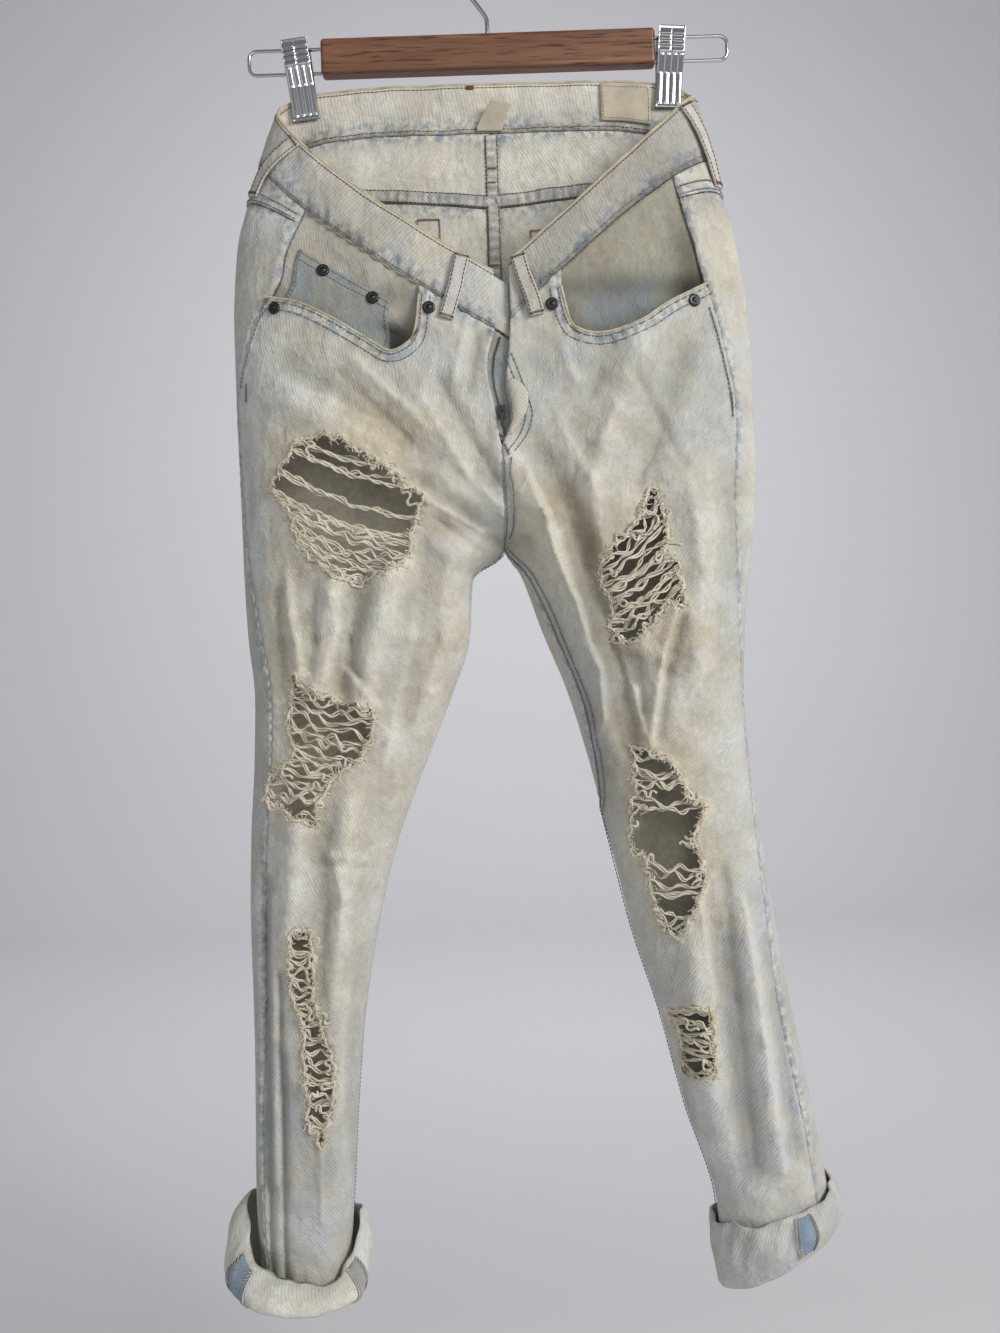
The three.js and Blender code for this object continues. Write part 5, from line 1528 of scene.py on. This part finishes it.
tackLines = [  # x0, z0, x1, z1
    [171, -361, 171.5, -374],
    [-189, -341, -189.5, -354],
    [2, -397, 5, -405],
    [60, -318, 53, -312],
    [-64, -318, -58, -310],
]
trimRadius = {"tack": 0.4, "overlock": 0.42, "pocketHem": 1.0, "bandEdge": 1.45}
for x0, z0, x1, z1 in tackLines:
    path, normals = xzToSurface(right if x0 > 0 else left, np.linspace([x0, z0], [x1, z1], 6))
    zigzagTack(path, normals, 0.9)
for side in sides:
    path, normals = xzToSurface(side, smoothPath(pocketOpenings[side["name"]], 2))
    path = path - normals * 0.4
    tubes(f"pocket_hem_{side['name']}", [path], [trimRadius["pocketHem"]], 8, [edgeCloth], "denim")
tubes("bar_tacks", tacks, [trimRadius["tack"]] * len(tacks), 5, [sewingThread["rust"]], "denim")
tubes("overlock", overlock, [trimRadius["overlock"]] * len(overlock), 5, [sewingThread["white"]], "denim")
edgePath = bandGrid[0][0] - bandGrid[1][0] * bandSize["wall"] / 2
tubes("band_edge", [edgePath], [trimRadius["bandEdge"]], 8, [edgeCloth], "denim")

stitchFaces = [[0, 4, 1], [2, 5, 3], [1, 4, 5], [1, 5, 2], [3, 5, 4], [3, 4, 0], [0, 1, 2], [0, 2, 3]]
for colour, groups in stitches.items():
    points = np.concatenate(groups)
    faces = (np.arange(len(points))[:, None, None] * 6 + np.array(stitchFaces)[None]).reshape(-1, 3)
    place(meshObject(f"stitches_{colour}", points.reshape(-1, 3), faces, [sewingThread[colour]]), "denim")
print("stitches")

# Zip teeth
teeth = {"pitch": 1.5, "size": (1.6, 1.4, 0.7), "rows": (1.1, 2.85), "past": 4.2, "depth": 1.2}
# Blackened brass: dark, with a soft shine on its edges
darkMetal = newMaterial("dark_metal", "#3f3f3d", 0.38, 1.0)[0]
v = np.linspace(*teeth["rows"], 400)
angle = angleAtX(left, v, flyOffset(left, v) + teeth["past"])
path = offsetPoint(left, v, angle, np.full(v.shape, -teeth["depth"]))
lengths = pathLength(path, 0)
centres = sampleAt(path, lengths, np.arange(0, lengths[-1], teeth["pitch"]))
corners = np.array([[i, j, k] for i in (-0.5, 0.5) for j in (-0.5, 0.5) for k in (-0.5, 0.5)]) * teeth["size"]
boxFaces = np.array([[0, 1, 3, 2], [4, 6, 7, 5], [0, 4, 5, 1], [2, 3, 7, 6], [0, 2, 6, 4], [1, 5, 7, 3]])
points = (centres[:, None] + corners[None]).reshape(-1, 3)
faces = (np.arange(len(centres))[:, None, None] * 8 + boxFaces[None]).reshape(-1, 4)
zipTeeth = meshObject("zip_teeth", points, faces, [darkMetal])
zipTeeth.data.polygons.foreach_set("use_smooth", np.zeros(len(zipTeeth.data.polygons), bool))
place(zipTeeth, "dark_metal")
for name in ("zip_slider", "zip_pull_tab"):
    piece = bpy.data.objects[name]
    piece.data.materials.clear()
    piece.data.materials.append(darkMetal)

# Rivets
rivetSize = {"radius": 4.7, "height": 2.1, "sections": 28, "lift": 0.8}
coinLift = facing["wall"] + 0.6 + 0.3 - facing["rest"] - facing["gape"]
rivetPlaces = {  # side, row, x, lift
    "rivet_left_side": (left, 2.57, -164, rivetSize["lift"]),
    "rivet_left_front": (left, 1.33, -50, rivetSize["lift"]),
    "rivet_right_front": (right, 1.37, 40, rivetSize["lift"]),
    "rivet_right_side": (right, 2.44, 145, rivetSize["lift"]),
    "rivet_coin_outer": (left, 1.72, -127, coinLift),
    "rivet_coin_inner": (left, 1.72, -91, coinLift),
}
profile = np.array([  # share of the radius, share of the height
    [0, 1], [0.16, 1], [0.26, 0.86], [0.34, 0.62], [0.5, 0.55],
    [0.66, 0.68], [0.8, 0.66], [0.95, 0.45], [1, 0.2], [1, 0],
])
count = rivetSize["sections"]
turns = np.linspace(0, 2 * math.pi, count, endpoint=False)
j = np.arange(count)
i = np.arange(len(profile) - 1)[:, None] * count
after = (j + 1) % count
faces = np.stack([i + j, i + count + j, i + count + after, i + after], -1).reshape(-1, 4)
for name, (side, row, x, lift) in rivetPlaces.items():
    row = np.array(row)
    angle = angleAtX(side, row, x)
    centre = offsetPoint(side, row, angle, np.array(lift))
    normal = outwardAt(side, row, angle)
    first = unit(np.cross(normal, [0, 0, 1]))
    second = np.cross(normal, first)
    ring = np.cos(turns)[:, None] * first + np.sin(turns)[:, None] * second
    points = centre + ring[None] * (profile[:, 0] * rivetSize["radius"])[:, None, None]
    points = points + normal * (profile[:, 1] * rivetSize["height"])[:, None, None]
    place(meshObject(name, points.reshape(-1, 3), faces, [darkMetal]), "dark_metal", name)
print("metal trims")

# Hanger bar
barSize = {"length": 262, "height": 28, "depth": 14, "top": -62, "round": 3}
# Oiled hardwood: warm brown, with long streaks, slow bands and dark pores, and a low gloss
wood, tree, shader = newMaterial("wood", "#744f38", 0.42)
woodPatterns = [  # stretch, size in millimetres, detail, roughness, band, colour
    ((0.05, 1, 1), 5, 6, 0.6, (0.35, 0.65), "#8a6147"),
    ((0.08, 0.6, 1), 11, 3, 0.55, (0.4, 0.7), "#6f4a33"),
    ((0.06, 1, 1), 1.6, 2, 0.55, (0.55, 0.68), "#3f2a1a"),
]
spot = addNode(tree, "TexCoord", output="Object")
colour = hexColour("#5d3c29")
for stretch, size, detail, roughness, ends, code in woodPatterns:
    vector = addNode(tree, "Mapping", {"Vector": spot, "Scale": stretch})
    values = {"Vector": vector, "Scale": 1 / (size * mm), "Detail": detail, "Roughness": roughness}
    factor = addNode(tree, "MapRange", [addNode(tree, "TexNoise", values), *ends])
    colour = addNode(tree, "Mix", {0: factor, 6: colour, 7: hexColour(code)}, 2, data_type="RGBA")
tree.links.new(colour, shader.inputs["Base Color"])
bpy.ops.mesh.primitive_cube_add(size=1, location=(0, 0, (barSize["top"] - barSize["height"] / 2) * mm))
bar = bpy.context.active_object
bar.name = "hanger_bar_wood"
bar.scale = (barSize["length"] * mm, barSize["depth"] * mm, barSize["height"] * mm)
bpy.ops.object.transform_apply(location=True, rotation=True, scale=True)
applyModifier(bar, "BEVEL", width=barSize["round"] * mm, segments=4)
bpy.ops.object.shade_smooth()
applyModifier(bar, "WEIGHTED_NORMAL", keep_sharp=True)
bar.data.materials.append(wood)
place(bar, "wood", "hanger_bar")

# Wires and hook, of chromed steel: a clear, bright mirror
chrome = newMaterial("chrome", "#c3c5c7", 0.16, 1.0)[0]
bow = {"radius": 1.4, "upper": -68, "lower": -87, "reach": 188, "corner": 6}
hook = {"radius": 1.7, "inner": 17, "stemTop": -46, "from": 232, "to": -25}
for sign, name in ((-1, "wire_bow_left"), (1, "wire_bow_right")):
    inner = sign * (barSize["length"] / 2 + 0.3)
    bendAt = sign * (bow["reach"] - bow["corner"])
    turns = np.linspace(math.pi / 2, 0, 8)
    path = [[inner, 0, bow["upper"]], [mix(inner, bendAt, 0.5), 0, bow["upper"]]]
    upper = []
    for a in turns:
        x = bendAt + sign * bow["corner"] * math.cos(a)
        upper.append((x, bow["upper"] - bow["corner"] * (1 - math.sin(a))))
    path += [[x, 0, z] for x, z in upper]
    path += [[x, 0, bow["upper"] + bow["lower"] - z] for x, z in upper[::-1]]
    path += [[mix(inner, bendAt, 0.5), 0, bow["lower"]], [inner, 0, bow["lower"]]]
    piece = tubes(name + "_bent", [path], [bow["radius"]], 12, [chrome], "chrome")
    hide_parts(name)
ringRadius = hook["inner"] + hook["radius"]
bend = np.radians(np.linspace(hook["from"], hook["to"], 48))
path = [[0, 0, barSize["top"] - 1], [0, 0, hook["stemTop"] - 6], [-1.5, 0, hook["stemTop"]]]
path += [[ringRadius * math.cos(a), 0, ringRadius * math.sin(a) - hook["inner"]] for a in bend]
piece = tubes("hook_bent", [smoothPath(path, 1.5)], [hook["radius"]], 14, [chrome], "chrome")
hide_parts("hook")

# Clips
clip = {
    "width": 20.5, "wall": 1.2, "top": -63, "bend": -82, "jaw": -97, "bottom": -124,
    "spread": 7.5, "bendOut": 5.5, "gap": 0.3,
}
spring = {"turns": 6, "half": 4.3, "radius": 6.2, "wire": 0.75, "points": 150}
heldBand = {"front": -0.6, "back": 2.2}
clipPlaces = {"left": (-144, 7), "right": (140, 4)}  # x, lean in degrees


def clipOut(z):
    heights = [clip[key] for key in ("bottom", "jaw", "bend", "top")]
    return np.interp(z, heights, [0, 0, clip["bendOut"], clip["spread"]])


def clipPlate(face, direction):
    near = face + direction * clip["gap"]
    z = np.linspace(clip["bottom"], clip["top"], 90)[:, None]
    x = np.linspace(-0.5, 0.5, 65)[None, :]
    flutes = np.abs(np.sin(math.pi * 4 * (x + 0.5))) ** 0.6 * 1.3
    lower = 1 - smoothStep(clip["bend"] - 2.5, clip["bend"] - 1, z)
    lower = lower * smoothStep(clip["bottom"] + 2.2, clip["bottom"] + 3.6, z)
    steps = np.clip((z - clip["bend"] + 0.5) / 4.2, 0, 3.999)
    stair = 1.7 * (1 - (steps % 1)) * np.clip(np.abs(np.sin(2 * math.pi * (x + 0.5))) * 2.5, 0, 1)
    stair = stair * (1 - lower) * (z > clip["bend"] - 1) * (steps < 3.99)
    rim = 0.9 * (np.abs(x) > 0.465) * (1 - lower)
    rim = rim + 1.1 * (1 - smoothStep(clip["bottom"] + 2, clip["bottom"] + 3.2, z))
    raised = clip["wall"] + np.maximum(np.maximum(flutes * lower, stair), rim)
    outer = np.stack(np.broadcast_arrays(x * clip["width"], near + direction * (clipOut(z) + raised), z), -1)
    inner = np.stack(np.broadcast_arrays(x * clip["width"], near + direction * clipOut(z), z), -1)
    rows, columns = outer.shape[:2]
    front, back = gridFaces(rows, columns, -direction), gridFaces(rows, columns, direction) + rows * columns
    index = np.arange(rows * columns).reshape(rows, columns)
    loop = np.concatenate([index[0], index[1:, -1], index[-1, -2::-1], index[-2:0:-1, 0]])
    ahead = np.roll(loop, -1)
    walls = np.stack([loop, ahead, ahead + rows * columns, loop + rows * columns], -1)
    faces = np.concatenate([front, back, walls if direction > 0 else walls[:, ::-1]])
    return meshObject("plate", np.concatenate([outer.reshape(-1, 3), inner.reshape(-1, 3)]), faces, [chrome])


for name, (x, lean) in clipPlaces.items():
    turn = Matrix.Rotation(math.radians(lean * (1 if x > 0 else -1)), 4, "Y")
    where = Matrix.Translation(Vector((x, 0, clip["bottom"])) * mm) @ turn
    where = where @ Matrix.Translation(Vector((0, 0, -clip["bottom"])) * mm)
    for face, direction, node in ((heldBand["front"], -1, "front"), (heldBand["back"], 1, "back")):
        piece = clipPlate(face, direction)
        piece.name = f"clip_{name}_{node}_plate"
        piece.data.transform(where)
        place(piece, "chrome", f"clip_{name}_{node}")
    centre = ((heldBand["front"] + heldBand["back"]) / 2, (bow["upper"] + bow["lower"]) / 2)
    coil = np.linspace(0, 2 * math.pi * spring["turns"], spring["points"])
    across = np.linspace(-spring["half"], spring["half"], spring["points"])
    y, z = centre[0] + spring["radius"] * np.cos(coil), centre[1] + spring["radius"] * np.sin(coil)
    path = np.stack([across, y, z], -1)
    piece = tubes(f"clip_{name}_coil", [path], [spring["wire"]], 8, [chrome], "chrome")
    piece.data.transform(where)
    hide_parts(f"clip_{name}_spring")
print("hanger")

# Floor, light and camera; studio paper is plain, pale and matt
paper = newMaterial("paper", "#f2f1f4", 0.9)[0]
room = {"floor": -1500, "wall": 4200, "round": 900, "near": -4000, "top": 4200, "half": 6000}
middleY, middleZ = room["wall"] - room["round"], room["floor"] + room["round"]
profile = [[room["near"], room["floor"]]]
for a in np.linspace(-math.pi / 2, 0, 16):
    profile.append([middleY + room["round"] * math.cos(a), middleZ + room["round"] * math.sin(a)])
profile.append([room["wall"], room["top"]])
points = np.array([[[x, y, z] for x in (-room["half"], room["half"])] for y, z in profile])
backdrop = meshObject("backdrop", points.reshape(-1, 3), gridFaces(len(profile), 2, 1), [paper])

world = bpy.data.worlds.new("studio")
bpy.context.scene.world = world
world.use_nodes = True
world.node_tree.nodes["Background"].inputs["Color"].default_value = hexColour("#e3e5ea")
world.node_tree.nodes["Background"].inputs["Strength"].default_value = 0.31
lamps = {
    "key": {"place": (1.7, -1.45, 0.45), "size": 0.9, "watts": 47, "colour": (1.0, 0.98, 0.96)},
    "fill": {"place": (-1.9, -1.5, -0.2), "size": 2.0, "watts": 5, "colour": (0.95, 0.97, 1.0)},
    "front": {"place": (0.3, -2.4, 0.2), "size": 1.2, "watts": 9, "colour": (1.0, 0.99, 0.97)},
    "wall": {"place": (0.0, 1.4, 0.9), "size": 2.0, "watts": 27, "colour": (1.0, 1.0, 1.0),
             "aim": (0.0, 4.2, 0.2)},
}
for name, lamp in lamps.items():
    data = bpy.data.lights.new(name, "AREA")
    data.size = lamp["size"]
    data.energy = lamp["watts"]
    data.color = lamp["colour"]
    piece = bpy.data.objects.new(name, data)
    piece.location = lamp["place"]
    aim = Vector(lamp.get("aim", (0, 0, -0.55))) - Vector(lamp["place"])
    piece.rotation_euler = aim.to_track_quat("-Z", "Y").to_euler()
    bpy.context.scene.collection.objects.link(piece)

lens = {"place": (-0.0069, -0.920, -0.558), "roll": 0.034, "focal": 31.57}
camera = bpy.data.cameras.new("camera")
camera.lens = lens["focal"]
camera.sensor_width = 36
view = bpy.data.objects.new("camera", camera)
c, s = math.cos(lens["roll"]), math.sin(lens["roll"])
turn = Matrix(((c, s, 0, 0), (0, 0, -1, 0), (-s, c, 0, 0), (0, 0, 0, 1)))
view.matrix_world = Matrix.Translation(lens["place"]) @ turn
bpy.context.scene.collection.objects.link(view)
bpy.context.scene.camera = view
bpy.context.scene.view_settings.view_transform = "Standard"
